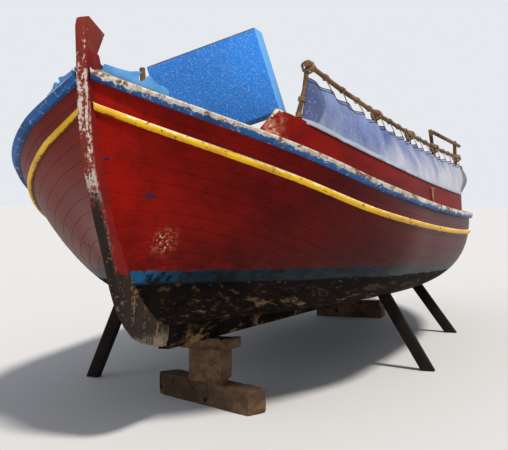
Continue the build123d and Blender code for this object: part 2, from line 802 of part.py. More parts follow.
fore_pad = under(1230)
pad, above = crib_pad(1230, 260, 48)
placed["keel_crib_forward"] = [
    Pos(fore_pad.X, 0, 55) * Rot(0, 0, -28) * Box(110, 620, 110),
    Pos(fore_pad.X, 0, 200) * Box(150, 160, 179) - above,
    pad,
]
aft_pad = under(4350)
pad, above = crib_pad(4350, 480, 50)
placed["keel_crib_aft"] = [Pos(aft_pad.X, 0, 60) * Box(150, 520, 120) - above, pad]


def prop(name, s, y_top, y_foot, s_foot):
    """Prop from the floor to the planking of one side, cut to the hull."""
    z = 0
    for k in range(STRAKES):
        a, b = line_at(k, 0, s), line_at(k + 1, 0, s)
        if a[0] <= abs(y_top) <= b[0]:
            z = a[1] + (b[1] - a[1]) * (abs(y_top) - a[0]) / (b[0] - a[0])
    foot = Vector(-s_foot, y_foot, 0)
    aim = under(s, y_top, z - 6) - foot
    timber = Plane((0, 0, 0), z_dir=aim).location * Pos(0, 0, aim.length / 2)
    timber = Pos(*foot) * timber * Box(64, 46, aim.length + 60)
    timber = timber - Pos(0, 0, -200) * Box(20000, 20000, 400)
    for k in range(STRAKES):
        hull = strake(k, 0.0, 4 * PLANK, range(5, LAST - 4))
        hull = Pos(0, 0, -FIT) * tilt * (hull if y_top > 0 else mirrored(hull))
        if hull.bounding_box().min.Z < timber.bounding_box().max.Z:
            timber = timber - hull
    placed[name] = [min(timber.solids(), key=lambda q: q.bounding_box().min.Z)]


prop("prop_forward_starboard", 1500, -560, -800, 1600)
prop("prop_forward_port", 2300, 620, 860, 2300)
prop("prop_aft_starboard", 3700, -600, -840, 3720)
prop("prop_aft_port", 3700, 600, 840, 3720)

boxes = [s.bounding_box() for solids in placed.values() for s in solids]
low = [min(tuple(box.min)[i] for box in boxes) for i in range(3)]
high = [max(tuple(box.max)[i] for box in boxes) for i in range(3)]
shift = Pos(-(low[0] + high[0]) / 2, -(low[1] + high[1]) / 2, 0)
for name, solids in placed.items():
    moved = [shift * s for s in solids]
    whole = moved[0] if len(moved) == 1 else Compound(moved)
    export_step(whole, f"parts/{name}.step")
print("shift", shift.position, "low", low, "high", high)
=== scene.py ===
"""Looks of a weathered carvel rowing boat on timber cribs, in metres.

Points of the boat are worked out in millimetres in its own frame, as (s, y, z):
s aft from the stem head, y to port, z up from the keel's foot.
"""

import math

import bmesh
import bpy
import numpy as np
from mathutils import Euler, Matrix, Vector, noise


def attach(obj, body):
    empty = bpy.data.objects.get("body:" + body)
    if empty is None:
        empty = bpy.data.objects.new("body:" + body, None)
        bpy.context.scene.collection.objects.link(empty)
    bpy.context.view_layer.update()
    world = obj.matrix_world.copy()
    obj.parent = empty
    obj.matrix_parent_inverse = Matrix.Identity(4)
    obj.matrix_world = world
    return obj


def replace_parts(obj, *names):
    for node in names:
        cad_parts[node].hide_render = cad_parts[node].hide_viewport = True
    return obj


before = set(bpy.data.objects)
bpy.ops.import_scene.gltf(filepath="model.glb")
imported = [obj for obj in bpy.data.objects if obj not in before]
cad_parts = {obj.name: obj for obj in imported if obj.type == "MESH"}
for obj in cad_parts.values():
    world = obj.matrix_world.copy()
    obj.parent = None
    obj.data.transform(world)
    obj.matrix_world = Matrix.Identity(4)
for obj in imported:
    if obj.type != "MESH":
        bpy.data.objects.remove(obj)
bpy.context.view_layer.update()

# The record's frame has the bow up, a little heel and the box's middle at zero.
TRIM, HEEL = 3.3, 1.3
MIDDLE, ASIDE, BOW_HEIGHT = 2968.536, 14.1795, 377.0
TILT = (
    Matrix.Translation(Vector((MIDDLE, ASIDE, BOW_HEIGHT)) / 1000)
    @ Euler((0, -math.radians(TRIM), 0)).to_matrix().to_4x4()
    @ Euler((math.radians(HEEL), 0, 0)).to_matrix().to_4x4()
)
BACK = TILT.inverted()
UP = np.array((0, 0, 1.0))
TO_STARBOARD = (1, -1, 1)


def place(p):
    """A point of the boat's frame, in the record's frame."""
    return TILT @ Vector((-p[0] / 1000, p[1] / 1000, p[2] / 1000))


# Planking: four control points a section (aft, half-breadth, height).
STRAKES, BILGE, PLANK, DECK, CAMBER = 18, 8, 18.0, 20.0, 20.0
NET = [
    ((720, 22, 90), (380, 22, 120), (110, 22, 550), (58, 22, 985)),
    ((800, 24, 88), (640, 105, 150), (330, 215, 590), (250, 335, 868)),
    ((950, 24, 86), (900, 190, 120), (660, 450, 440), (600, 612, 760)),
    ((1200, 24, 85), (1190, 350, 105), (1070, 700, 340), (1050, 795, 668)),
    ((1600, 24, 84), (1600, 600, 92), (1555, 895, 250), (1550, 890, 625)),
    ((2050, 24, 84), (2050, 660, 90), (2050, 945, 215), (2050, 932, 610)),
    ((2550, 24, 84), (2550, 700, 90), (2550, 985, 200), (2550, 970, 603)),
    ((3050, 24, 84), (3050, 700, 90), (3050, 1008, 200), (3050, 992, 605)),
    ((3550, 24, 84), (3550, 650, 92), (3550, 995, 215), (3550, 982, 620)),
    ((4000, 24, 84), (4000, 540, 100), (4040, 905, 260), (4050, 912, 650)),
    ((4350, 24, 85), (4400, 360, 120), (4520, 700, 360), (4550, 765, 695)),
    ((4720, 24, 86), (4800, 190, 150), (4960, 415, 480), (5000, 530, 750)),
    ((4980, 24, 88), (5080, 85, 200), (5290, 190, 600), (5350, 268, 805)),
    ((5120, 22, 90), (5240, 22, 300), (5390, 22, 600), (5500, 22, 860)),
]
MARKS = [row[3][0] for row in NET]
FINER = 4
BENDS_FORWARD, BENDS_AFT = 1200, 4400


def between(values, marks, at):
    """Smooth cubic through values at marks."""
    at = min(max(at, marks[0]), marks[-1])
    i = max(j for j in range(len(marks) - 1) if marks[j] <= at + 1e-9)
    lo, hi = max(i - 1, 0), min(i + 2, len(marks) - 1)
    run = marks[i + 1] - marks[i]
    t = (at - marks[i]) / run
    a = (values[i + 1] - values[lo]) / (marks[i + 1] - marks[lo]) * run
    b = (values[hi] - values[i]) / (marks[hi] - marks[i]) * run
    return (
        (2 * t**3 - 3 * t * t + 1) * values[i] + (t**3 - 2 * t * t + t) * a
        + (3 * t * t - 2 * t**3) * values[i + 1] + (t**3 - t * t) * b
    )


def section(mark, count):
    """Points at equal girth of the section whose sheer is that far aft."""
    net = [[between([r[i][a] for r in NET], MARKS, mark) for a in range(3)] for i in range(4)]
    t = np.linspace(0, 1, 161)[:, None]
    w = ((1 - t) ** 3, 3 * t * (1 - t) ** 2, 3 * t * t * (1 - t), t**3)
    fine = sum(w[i] * np.array(net[i]) for i in range(4))
    run = np.r_[0, np.cumsum(np.linalg.norm(np.diff(fine, axis=0), axis=1))]
    want = np.linspace(0, run[-1], count + 1)
    return np.stack([np.interp(want, run, fine[:, a]) for a in range(3)], 1)


# Stations along the hull, closer together where it bends at the ends.
STATIONS = []
for low, high in zip(MARKS, MARKS[1:]):
    cuts = 8 if low < BENDS_FORWARD or low > BENDS_AFT else 5
    STATIONS += [low + (high - low) * c / cuts for c in range(cuts)]
STATIONS.append(MARKS[-1])
LAST = len(STATIONS) - 1
SKIN = np.array([section(m, STRAKES * FINER) for m in STATIONS])

# Unit directions into the hull. By the keel they point up, above it towards the middle.
INTO = np.cross(np.gradient(SKIN, axis=1), np.gradient(SKIN, axis=0))
INTO /= np.linalg.norm(INTO, axis=2, keepdims=True)
INTO[INTO[:, :, 1] > 0] *= -1
by_keel = INTO[:, :3 * FINER]
by_keel[by_keel[:, :, 2] < 0] *= -1
OUTER, NORMAL = SKIN[:, ::FINER], INTO[:, ::FINER]


def sheer(s):
    """Half-breadth and height of the deck edge."""
    edge = OUTER[:, STRAKES]
    return float(np.interp(s, edge[:, 0], edge[:, 1])), float(np.interp(s, edge[:, 0], edge[:, 2])) + DECK


def deck_top(s, v):
    """Height of the cambered deck, v from the middle."""
    y, z = sheer(s)
    return z + CAMBER * (1 - min(abs(v) / y, 1) ** 2)


# Mesh helpers


def settled(piece):
    """Its modifiers worked into a plain mesh."""
    mesh = bpy.data.meshes.new_from_object(piece.evaluated_get(bpy.context.evaluated_depsgraph_get()))
    piece.modifiers.clear()
    piece.data = mesh
    for p in mesh.polygons:
        p.use_smooth = True
    return mesh


def laid(name, data):
    """A new object of the scene with that mesh, camera or lamp."""
    piece = bpy.data.objects.new(name, data)
    bpy.context.scene.collection.objects.link(piece)
    return piece


def add_bar(verts, faces, rows):
    """Joins rows of corners into a bar with capped ends."""
    base, n = len(verts), len(rows[0])
    verts += [p for row in rows for p in row]
    for i in range(len(rows) - 1):
        for c in range(n):
            d = (c + 1) % n
            a = base + i * n
            faces.append((a + c, a + d, a + n + d, a + n + c))
    faces.append(tuple(base + c for c in reversed(range(n))))
    faces.append(tuple(base + (len(rows) - 1) * n + c for c in range(n)))


def bars_piece(name, bars, material, crease, corners=None):
    """A hull piece of bars, each of rows of points, its faces outwards.

    The corner attribute numbers the points round a bar, so that paint can wear
    at its edges. Edges bent by more than the crease, in degrees, stay sharp.
    """
    verts, faces = [], []
    for rows in bars:
        add_bar(verts, faces, [[place(p) for p in row] for row in rows])
    corners = corners or list(range(len(bars[0][0])))
    mesh = bpy.data.meshes.new(name)
    mesh.from_pydata([tuple(v) for v in verts], [], faces)
    layer = mesh.attributes.new("corner", "FLOAT", "POINT")
    for i in range(len(verts)):
        layer.data[i].value = corners[i % len(corners)]
    bm = bmesh.new()
    bm.from_mesh(mesh)
    bmesh.ops.remove_doubles(bm, verts=bm.verts, dist=1e-6)
    bmesh.ops.recalc_face_normals(bm, faces=bm.faces)
    bm.to_mesh(mesh)
    bm.free()
    for p in mesh.polygons:
        p.use_smooth = True
    mesh.set_sharp_from_angle(angle=math.radians(crease))
    mesh.materials.append(material)
    piece = laid(name, mesh)
    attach(piece, "hull")
    return piece


def to_side(bars, side):
    """Bars drawn for the port side, turned over for the starboard side."""
    if side == "port":
        return bars
    return [[[(p[0], -p[1], p[2]) for p in row] for row in rows] for rows in bars]


# In degrees: an edge past the first is rounded, faces within the second count as
# one, and a bend past the third stays sharp, or past the fourth on a face of cells.
EDGE_ANGLE, FLAT_ANGLE, CREASE, CELL_CREASE = 28, 1.5, 50, 80


def soften(node, material, width, body="hull", segments=2, rough=0.0, cell=0):
    """A copy of a CAD node with worn, rounded edges, and an uneven face if it has cells."""
    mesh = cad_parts[node].data.copy()
    bm = bmesh.new()
    bm.from_mesh(mesh)
    bmesh.ops.remove_doubles(bm, verts=bm.verts, dist=1e-5)
    bmesh.ops.dissolve_limit(bm, angle_limit=math.radians(FLAT_ANGLE), verts=bm.verts, edges=bm.edges)
    bmesh.ops.recalc_face_normals(bm, faces=bm.faces)
    bm.to_mesh(mesh)
    bm.free()
    mesh.materials.clear()
    mesh.materials.append(material)
    piece = laid("worn_" + node, mesh)
    bevel = piece.modifiers.new("edge", "BEVEL")
    bevel.width, bevel.segments, bevel.limit_method = width, segments, "ANGLE"
    bevel.angle_limit = math.radians(EDGE_ANGLE)
    if cell:
        piece.modifiers.new("cut", "TRIANGULATE")
        remesh = piece.modifiers.new("cells", "REMESH")
        remesh.mode, remesh.voxel_size = "VOXEL", cell
    worn = settled(piece)
    if rough:
        for v in worn.vertices:
            v.co += v.normal * rough * noise.noise(Vector((v.co.x * 3, v.co.y * 9, v.co.z * 9)) * 2.2)
            v.co.z = max(v.co.z, 0.0)
    worn.set_sharp_from_angle(angle=math.radians(CELL_CREASE if cell else CREASE))
    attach(piece, body)
    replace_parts(piece, node)


# Materials. Each starts from the paint, wood, iron or cloth that the part is made of.


def rgb(code):
    """Linear colour of an sRGB hex value."""
    out = []
    for i in (0, 2, 4):
        c = int(code[i:i + 2], 16) / 255
        out.append(c / 12.92 if c <= 0.04045 else ((c + 0.055) / 1.055) ** 2.4)
    return (*out, 1.0)


def add(tree, kind, *inputs, **settings):
    """Adds one node with its settings, values and links.

    The inputs are those in use, in their order on the node. Each is a value, a
    hex colour, or what to link: an output, or a node for its first output in
    use. None leaves an input alone. A kind without Node in it is a shader node.
    """
    node = tree.nodes.new(kind if "Node" in kind else "ShaderNode" + kind)
    for key, value in settings.items():
        setattr(node, key, value)
    for socket, value in zip([socket for socket in node.inputs if socket.enabled], inputs):
        if isinstance(value, bpy.types.Node):
            value = next(output for output in value.outputs if output.enabled)
        if isinstance(value, bpy.types.NodeSocket):
            tree.links.new(value, socket)
        elif value is not None:
            socket.default_value = rgb(value) if socket.type == "RGBA" else value
    return node


SMOOTH = {"interpolation_type": "SMOOTHSTEP"}
COLOURS = {"data_type": "RGBA"}
PLUS = {"operation": "ADD"}
TIMES = {"operation": "MULTIPLY"}
TIMES_PLUS = {"operation": "MULTIPLY_ADD"}
LARGER = {"operation": "MAXIMUM"}


class Finish:
    """One material under way: its tree, its object coordinates and its shader."""

    def __init__(self, name, rough, **shader):
        self.material = bpy.data.materials.new(name)
        self.material.use_nodes = True
        self.tree = self.material.node_tree
        self.tree.nodes.clear()
        self.shader = self.add("BsdfPrincipled")
        self.add("OutputMaterial", self.shader)
        for key, value in {"Roughness": rough, **shader}.items():
            self.shader.inputs[key].default_value = value
        self.where = self.add("TexCoord").outputs["Object"]

    def add(self, kind, *inputs, **settings):
        return add(self.tree, kind, *inputs, **settings)

    def done(self, colour, relief, rough=None):
        """Links what the nodes worked out and gives the material."""
        self.tree.links.new(colour.outputs[2], self.shader.inputs["Base Color"])
        self.tree.links.new(relief.outputs[0], self.shader.inputs["Normal"])
        if rough:
            self.tree.links.new(rough.outputs[0], self.shader.inputs["Roughness"])
        return self.material


def boat_frame(f):
    """Metres ahead of the stem head, to port and up from the keel's foot."""
    return f.add("Mapping", f.where, BACK.to_translation(), BACK.to_euler(), (1, 1, 1))


def grain(f, scale=1.0):
    """Weathered grain along the boat: fine dark lines 2 to 4 mm apart, and broad bands."""
    along_lines = f.add("Mapping", f.where, None, None, (0.06, 1, 1))
    along_bands = f.add("Mapping", f.where, None, None, (0.12, 1, 1))
    lines = f.add("TexNoise", along_lines, 60 * scale, 3, 0.6, None, 0.4)
    bands = f.add("TexNoise", along_bands, 9 * scale, 3, 0.55)
    return lines, bands


# The boot-top's upper and lower edges, in metres above the keel's foot. Then the
# middle of the wear patch, and that of each blue scuff with its half length.
WATERLINE, ANTIFOULING = 0.322, 0.280
WEAR_PATCH = (-0.41, 0.129, 0.430)
SCUFFS = [
    ((-0.131, 0.037, 0.713), 0.016), ((-0.193, 0.131, 0.732), 0.012), ((-0.277, 0.132, 0.589), 0.030),
]


def hull_paint():
    """Red oil paint brushed on larch over a blue boot-top and dark antifouling.

    The red is sun-bleached in clouds, streaked along the planks and chipped to its
    primer in specks. Painted shade darkens it towards the stern and the turn of the
    bilge, and dulls the starboard side.
    """
    f = Finish("red_oil_paint_on_larch", 0.5, **{"Specular IOR Level": 0.05})
    here = boat_frame(f)
    along, across, high = f.add("SeparateXYZ", here).outputs
    # Clouds of 450 mm, spots of 70 mm, specks of 7 mm, and streaks under 40 mm wide.
    clouds = f.add("TexNoise", here, 2.2, 5, 0.6)
    spots = f.add("TexNoise", here, 14, 6, 0.65)
    fine = f.add("TexNoise", here, 150, 3, 0.7)
    streaks = f.add("TexNoise", f.add("Mapping", f.where, None, None, (0.12, 1, 1)), 26, 4, 0.6)
    colour = f.add("Mix", f.add("MapRange", clouds, 0.38, 0.66, **SMOOTH), "981307", "6C0A05", **COLOURS)
    dull = f.add("MapRange", streaks, 0.45, 0.75, 0.0, 0.35, **SMOOTH)
    colour = f.add("Mix", dull, colour, "3C0907", **COLOURS)

    # Chips down to the primer and bare wood, in a few patches.
    patches = f.add("TexNoise", f.add("Mapping", f.where, (4.1, 2.0, 0), None, (1, 1, 1)), 3.1, 3, 0.55)
    patches = f.add("MapRange", patches, 0.55, 0.7, **SMOOTH)
    mixed = f.add("Math", spots, 0.6, f.add("Math", fine, 0.4, **TIMES), **TIMES_PLUS)
    chips = f.add("Math", f.add("MapRange", mixed, 0.66, 0.70, **SMOOTH), patches, **TIMES)
    gone = f.add("Math", f.add("MapRange", spots, 0.70, 0.73, **SMOOTH), patches, **TIMES)
    colour = f.add("Mix", chips, colour, "C9B7A4", **COLOURS)
    colour = f.add("Mix", gone, colour, "7A5A3E", **COLOURS)

    # Painted shade: darker red in patches towards the turn of the bilge, where the hull turns under, and
    # towards the stern.
    low = f.add("MapRange", high, 0.50, 0.33, 0.0, 0.6, **SMOOTH)
    bilge_shade = f.add("Math", low, f.add("MapRange", spots, 0.30, 0.62, **SMOOTH), **TIMES)
    colour = f.add("Mix", bilge_shade, colour, "2A0806", **COLOURS)
    # Painted shade deepens the red towards the stern.
    slanted = f.add("Math", high, -0.35, along, **TIMES_PLUS)
    shaded = f.add("MapRange", slanted, -1.15, -0.22, 0.78, 0.0, **SMOOTH)
    colour = f.add("Mix", shaded, colour, "340506", **COLOURS)

    # Painted shade: the starboard side is dulled to a pinkish brown in streaks.
    chalk = f.add("MapRange", streaks, 0.30, 0.60, 0.25, 0.75, **SMOOTH)
    starboard = f.add("MapRange", across, -0.02, -0.03, **SMOOTH)
    colour = f.add("Mix", f.add("Math", starboard, chalk, **TIMES), colour, "62281F", **COLOURS)

    # The boot-top, its edge ragged by 15 mm, a lighter blue in patches towards the bow.
    ragged = f.add("TexNoise", here, 7, 4, 0.55)
    level = f.add("Math", ragged, 0.030, f.add("Math", high, -0.015, **PLUS), **TIMES_PLUS)
    band = f.add("Mix", f.add("MapRange", spots, 0.42, 0.60, **SMOOTH), "0E2533", "080B0E", **COLOURS)
    at_bow = f.add("MapRange", along, -0.62, -0.40, **SMOOTH)
    bow_lighter = f.add("Math", at_bow, f.add("MapRange", spots, 0.58, 0.44, **SMOOTH), **TIMES)
    band = f.add("Mix", bow_lighter, band, "17567F", **COLOURS)
    below = f.add("MapRange", level, WATERLINE, WATERLINE - 0.006, **SMOOTH)
    colour = f.add("Mix", below, colour, band, **COLOURS)

    # Antifouling, flaked to brown wood in streaks along the planks and low on the keel.
    tar_clouds = f.add("TexNoise", here, 5, 6, 0.7)
    tar = f.add("Mix", f.add("MapRange", tar_clouds, 0.40, 0.62, **SMOOTH), "060505", "160D0A", **COLOURS)
    flakes = f.add("TexNoise", f.add("Mapping", f.where, None, None, (0.16, 1, 1)), 40, 5, 0.65)
    tar = f.add("Mix", f.add("MapRange", flakes, 0.55, 0.64, 0.0, 0.8, **SMOOTH), tar, "4A3826", **COLOURS)
    rubbed = f.add("TexNoise", f.add("Mapping", f.where, None, None, (0.3, 1, 1)), 11, 5, 0.7)
    rubbed = f.add("MapRange", rubbed, 0.55, 0.64, **SMOOTH)
    by_foot = f.add("MapRange", high, 0.26, 0.12, **SMOOTH)
    tar = f.add("Mix", f.add("Math", rubbed, by_foot, **TIMES), tar, "7A6144", **COLOURS)
    fouled = f.add("MapRange", level, ANTIFOULING, ANTIFOULING - 0.018, **SMOOTH)
    colour = f.add("Mix", fouled, colour, tar, **COLOURS)

    # The wear patch forward, where the paint is rubbed to ochre and primer.
    far = f.add("VectorMath", here, WEAR_PATCH, operation="DISTANCE")
    worn = f.add("MapRange", f.add("TexNoise", here, 45, 6, 0.7), 0.48, 0.60, **SMOOTH)
    worn = f.add("Math", f.add("MapRange", far, 0.085, 0.02, 0.0, 0.85, **SMOOTH), worn, **TIMES)
    colour = f.add("Mix", worn, colour, "A2603C", **COLOURS)
    specks = f.add("MapRange", f.add("TexNoise", here, 90, 4, 0.7), 0.60, 0.63, **SMOOTH)
    specks = f.add("Math", f.add("MapRange", far, 0.06, 0.01, **SMOOTH), specks, **TIMES)
    colour = f.add("Mix", specks, colour, "D9CFC6", **COLOURS)

    # Short, level, dark blue scuffs.
    for centre, half in SCUFFS:
        away = f.add("VectorMath", here, centre, operation="SUBTRACT")
        away = f.add("VectorMath", f.add("VectorMath", away, (1.0, 0.6, 2.2), **TIMES), operation="LENGTH")
        broken = f.add("MapRange", f.add("TexNoise", here, 120, 3, 0.6), 0.42, 0.52, **SMOOTH)
        scuff = f.add("Math", f.add("MapRange", away, half, half * 0.5, **SMOOTH), broken, **TIMES)
        colour = f.add("Mix", scuff, colour, "1B2440", **COLOURS)

    relief = f.add("Bump", 0.35, 0.0012, None, streaks)
    relief = f.add("Bump", -0.6, 0.0006, None, f.add("Math", chips, gone, **PLUS), relief)
    relief = f.add("Bump", 0.35, 0.0003, None, fine, relief)
    rough = f.add("MapRange", fouled, 0.0, 1.0, 0.40, 0.85, **SMOOTH)
    return f.done(colour, relief, rough)


def worn_paint(name, paint, deep, primer, wood, wear):
    """Brushed oil paint on a trim piece, worn to primer and wood in spots of 14 mm."""
    gloss, matt = 0.45, 0.85
    f = Finish(name, gloss, **{"Specular IOR Level": 0.2})
    lines, bands = grain(f)
    spots = f.add("TexNoise", f.where, 70, 5, 0.7)
    mixed = f.add("Math", bands, 0.45, f.add("Math", spots, 0.55, **TIMES), **TIMES_PLUS)
    mixed = f.add("Math", lines, 0.25, f.add("Math", mixed, 0.75, **TIMES), **TIMES_PLUS)
    edge = 0.74 - 0.30 * wear
    under = f.add("MapRange", mixed, edge, edge + 0.03, **SMOOTH)
    bare = f.add("MapRange", mixed, edge + 0.05, edge + 0.09, **SMOOTH)
    timber = f.add("Mix", f.add("MapRange", lines, 0.4, 0.6, **SMOOTH), wood, "6A5238", **COLOURS)
    colour = f.add("Mix", f.add("MapRange", bands, 0.35, 0.7, **SMOOTH), paint, deep, **COLOURS)
    colour = f.add("Mix", under, colour, primer, **COLOURS)
    colour = f.add("Mix", bare, colour, timber, **COLOURS)
    relief = f.add("Bump", 0.5, 0.0010, None, lines)
    relief = f.add("Bump", -0.7, 0.0007, None, under, relief)
    return f.done(colour, relief, f.add("MapRange", under, 0.0, 1.0, gloss, matt, **SMOOTH))


def bare_wood(name, light, dark, crack, scale):
    """Unpainted timber greyed by weather, with open checks along its grain."""
    f = Finish(name, 0.85, **{"Specular IOR Level": 0.2})
    lines, bands = grain(f, scale)
    # Checks lie some 30 mm apart at a scale of 1.
    checks = f.add("TexNoise", f.add("Mapping", f.where, None, None, (0.05, 1, 1)), 34 * scale, 2, 0.5)
    checks = f.add("MapRange", checks, 0.66, 0.70, **SMOOTH)
    lined = f.add("MapRange", lines, 0.42, 0.62, 0.0, 0.6, **SMOOTH)
    colour = f.add("Mix", f.add("MapRange", bands, 0.3, 0.7, **SMOOTH), light, dark, **COLOURS)
    colour = f.add("Mix", lined, colour, dark, **COLOURS)
    colour = f.add("Mix", checks, colour, crack, **COLOURS)
    relief = f.add("Bump", 0.7, 0.0015, None, lines)
    relief = f.add("Bump", -0.9, 0.002, None, checks, relief)
    return f.done(colour, relief)


def pitted(name, rough, pits, low, high, light, dark, **shader):
    """A dull face with dark pits, as a noise of (pits to the metre, detail, roughness)."""
    f = Finish(name, rough, **shader)
    pits = f.add("TexNoise", f.where, *pits)
    colour = f.add("Mix", f.add("MapRange", pits, low, high, **SMOOTH), light, dark, **COLOURS)
    return f.done(colour, f.add("Bump", 0.8, 0.0008, None, pits))


# Threads are 1.5 mm apart on the real canvas, and drawn 7.9 mm apart so that they
# show: a wave texture's bands lie 0.314 m over its scale apart.
THREADS = 39.8089


def canvas_cloth():
    """Faded blue-grey cotton canvas: a plain weave, stained, with painted fold shade in upright streaks and
    painted shade at its after end, pale at its foot.
    """
    f = Finish("faded_cotton_canvas", 0.92, **{"Sheen Weight": 0.15, "Sheen Roughness": 0.5})
    uv = f.add("UVMap", uv_map="cloth")
    length, height, _ = f.add("SeparateXYZ", uv).outputs
    warp = f.add("TexWave", uv, THREADS, bands_direction="X").outputs["Fac"]
    weft = f.add("TexWave", uv, THREADS, bands_direction="Y").outputs["Fac"]
    # Stains of 200 mm, specks of 11 mm, painted fold shade in upright streaks of 140 mm, and creases of 60
    # mm.
    stain = f.add("TexNoise", f.where, 5, 5, 0.65)
    specks = f.add("TexNoise", f.where, 90, 4, 0.7)
    fold_shade = f.add("TexNoise", f.add("Mapping", f.where, None, None, (1, 1, 0.3)), 7, 4, 0.55)
    crease = f.add("TexNoise", f.add("Mapping", f.where, None, None, (1, 1, 0.22)), 16, 3, 0.5)
    colour = f.add("Mix", f.add("MapRange", stain, 0.35, 0.68, **SMOOTH), "7384B4", "4A5C94", **COLOURS)
    pale = f.add("Math", length, 0.30, f.add("Math", height, -2.2, **TIMES), **TIMES_PLUS)
    # Painted shade and light in upright streaks, as from folds.
    pale = f.add("Math", fold_shade, 0.9, pale, **TIMES_PLUS)
    colour = f.add("Mix", f.add("MapRange", pale, 0.25, 0.95, **SMOOTH), colour, "B9BCC8", **COLOURS)
    # The dark flap at the forward end, painted shade over the gathered after end, specks and the hem.
    flap = f.add("MapRange", length, 0.085, 0.070, 0.0, 0.75, **SMOOTH)
    colour = f.add("Mix", flap, colour, "35406A", **COLOURS)
    # Painted shade over the after end.
    aft = f.add("MapRange", f.add("Math", stain, 0.2, length, **TIMES_PLUS), 2.66, 2.78, 0.0, 0.8, **SMOOTH)
    colour = f.add("Mix", aft, colour, "3A4258", **COLOURS)
    specks = f.add("MapRange", specks, 0.56, 0.68, 0.0, 0.5, **SMOOTH)
    colour = f.add("Mix", specks, colour, "B4BCCB", **COLOURS)
    colour = f.add("Mix", f.add("MapRange", height, 0.028, 0.020, **SMOOTH), colour, "A7B2C6", **COLOURS)
    relief = f.add("Bump", 0.5, 0.012, None, crease)
    relief = f.add("Bump", 0.4, 0.0006, None, f.add("Math", warp, weft, **PLUS), relief)
    return f.done(colour, relief)


def rail_paint():
    """Blue paint on an ash rail, its trodden top flaked to white primer and brown wood."""
    f = Finish("blue_paint_flaked_to_primer_on_ash", 0.6, **{"Specular IOR Level": 0.2})
    lines, bands = grain(f)
    corner = f.add("Attribute", attribute_name="corner").outputs["Fac"]
    across = f.add("SeparateXYZ", boat_frame(f)).outputs["Y"]
    # Flaked in spots of 33 mm, with chips of 17 mm and bare wood in 42 mm.
    spots = f.add("TexNoise", f.add("Mapping", f.where, None, None, (0.4, 1, 1)), 30, 6, 0.72)
    edge = f.add("Math", corner, f.add("Math", spots, 2.2, -1.1, **TIMES_PLUS), **PLUS)
    port = f.add("MapRange", across, -0.02, 0.02, **SMOOTH)
    edge = f.add("Math", edge, f.add("MapRange", port, 0.0, 1.0, 0.9, -0.05, **SMOOTH), **PLUS)
    top = f.add("MapRange", corner, 0.2, 0.9, **SMOOTH)
    worn = f.add("Math", f.add("MapRange", edge, 3.62, 3.50, **SMOOTH), top, **TIMES)
    chips = f.add("TexNoise", f.add("Mapping", f.where, (3, 0, 0), None, (0.5, 1, 1)), 60, 5, 0.7)
    worn = f.add("Math", worn, f.add("MapRange", chips, 0.60, 0.63, 0.0, 0.8, **SMOOTH), **LARGER)
    wood = f.add("TexNoise", f.add("Mapping", f.where, (1, 2, 0), None, (0.3, 1, 1)), 24, 6, 0.75)
    wood = f.add("Math", f.add("MapRange", wood, 0.52, 0.56, **SMOOTH), worn, **TIMES)
    primer = f.add("Mix", f.add("MapRange", lines, 0.35, 0.65, **SMOOTH), "DAD7D0", "BBAA96", **COLOURS)
    colour = f.add("Mix", f.add("MapRange", bands, 0.35, 0.7, **SMOOTH), "1F5C9C", "143F74", **COLOURS)
    colour = f.add("Mix", worn, colour, primer, **COLOURS)
    colour = f.add("Mix", wood, colour, "7E5A3E", **COLOURS)
    relief = f.add("Bump", 0.5, 0.0010, None, lines)
    relief = f.add("Bump", -0.8, 0.0008, None, worn, relief)
    return f.done(colour, relief)


def yellow_paint():
    """Yellow paint on a half-round: a painted highlight along its top, browner below, and brown scuffs."""
    f = Finish("yellow_oil_paint_on_half_round", 0.5, **{"Specular IOR Level": 0.25})
    lines, bands = grain(f)
    corner = f.add("Attribute", attribute_name="corner").outputs["Fac"]
    # The painted highlight along the top and the browner underside are broken up in spots of 30 mm, with
    # scuffs of 18 mm.
    spots = f.add("TexNoise", f.add("Mapping", f.where, None, None, (0.35, 1, 1)), 34, 6, 0.72)
    edge = f.add("Math", corner, f.add("Math", spots, 5.0, -2.5, **TIMES_PLUS), **PLUS)
    scuffs = f.add("TexNoise", f.add("Mapping", f.where, (2, 1, 0), None, (0.3, 1, 1)), 55, 5, 0.72)
    scuffs = f.add("MapRange", scuffs, 0.60, 0.64, **SMOOTH)
    colour = f.add("Mix", f.add("MapRange", bands, 0.35, 0.7, **SMOOTH), "EDBB12", "D29A0C", **COLOURS)
    # Painted highlight along the top of the half-round.
    colour = f.add("Mix", f.add("MapRange", edge, 1.6, 0.8, **SMOOTH), colour, "F8F0C4", **COLOURS)
    # Browner along its underside.
    colour = f.add("Mix", f.add("MapRange", edge, 4.6, 5.2, **SMOOTH), colour, "7A5218", **COLOURS)
    colour = f.add("Mix", scuffs, colour, "6A4420", **COLOURS)
    relief = f.add("Bump", 0.5, 0.0008, None, lines)
    relief = f.add("Bump", -0.8, 0.0007, None, scuffs, relief)
    return f.done(colour, relief)


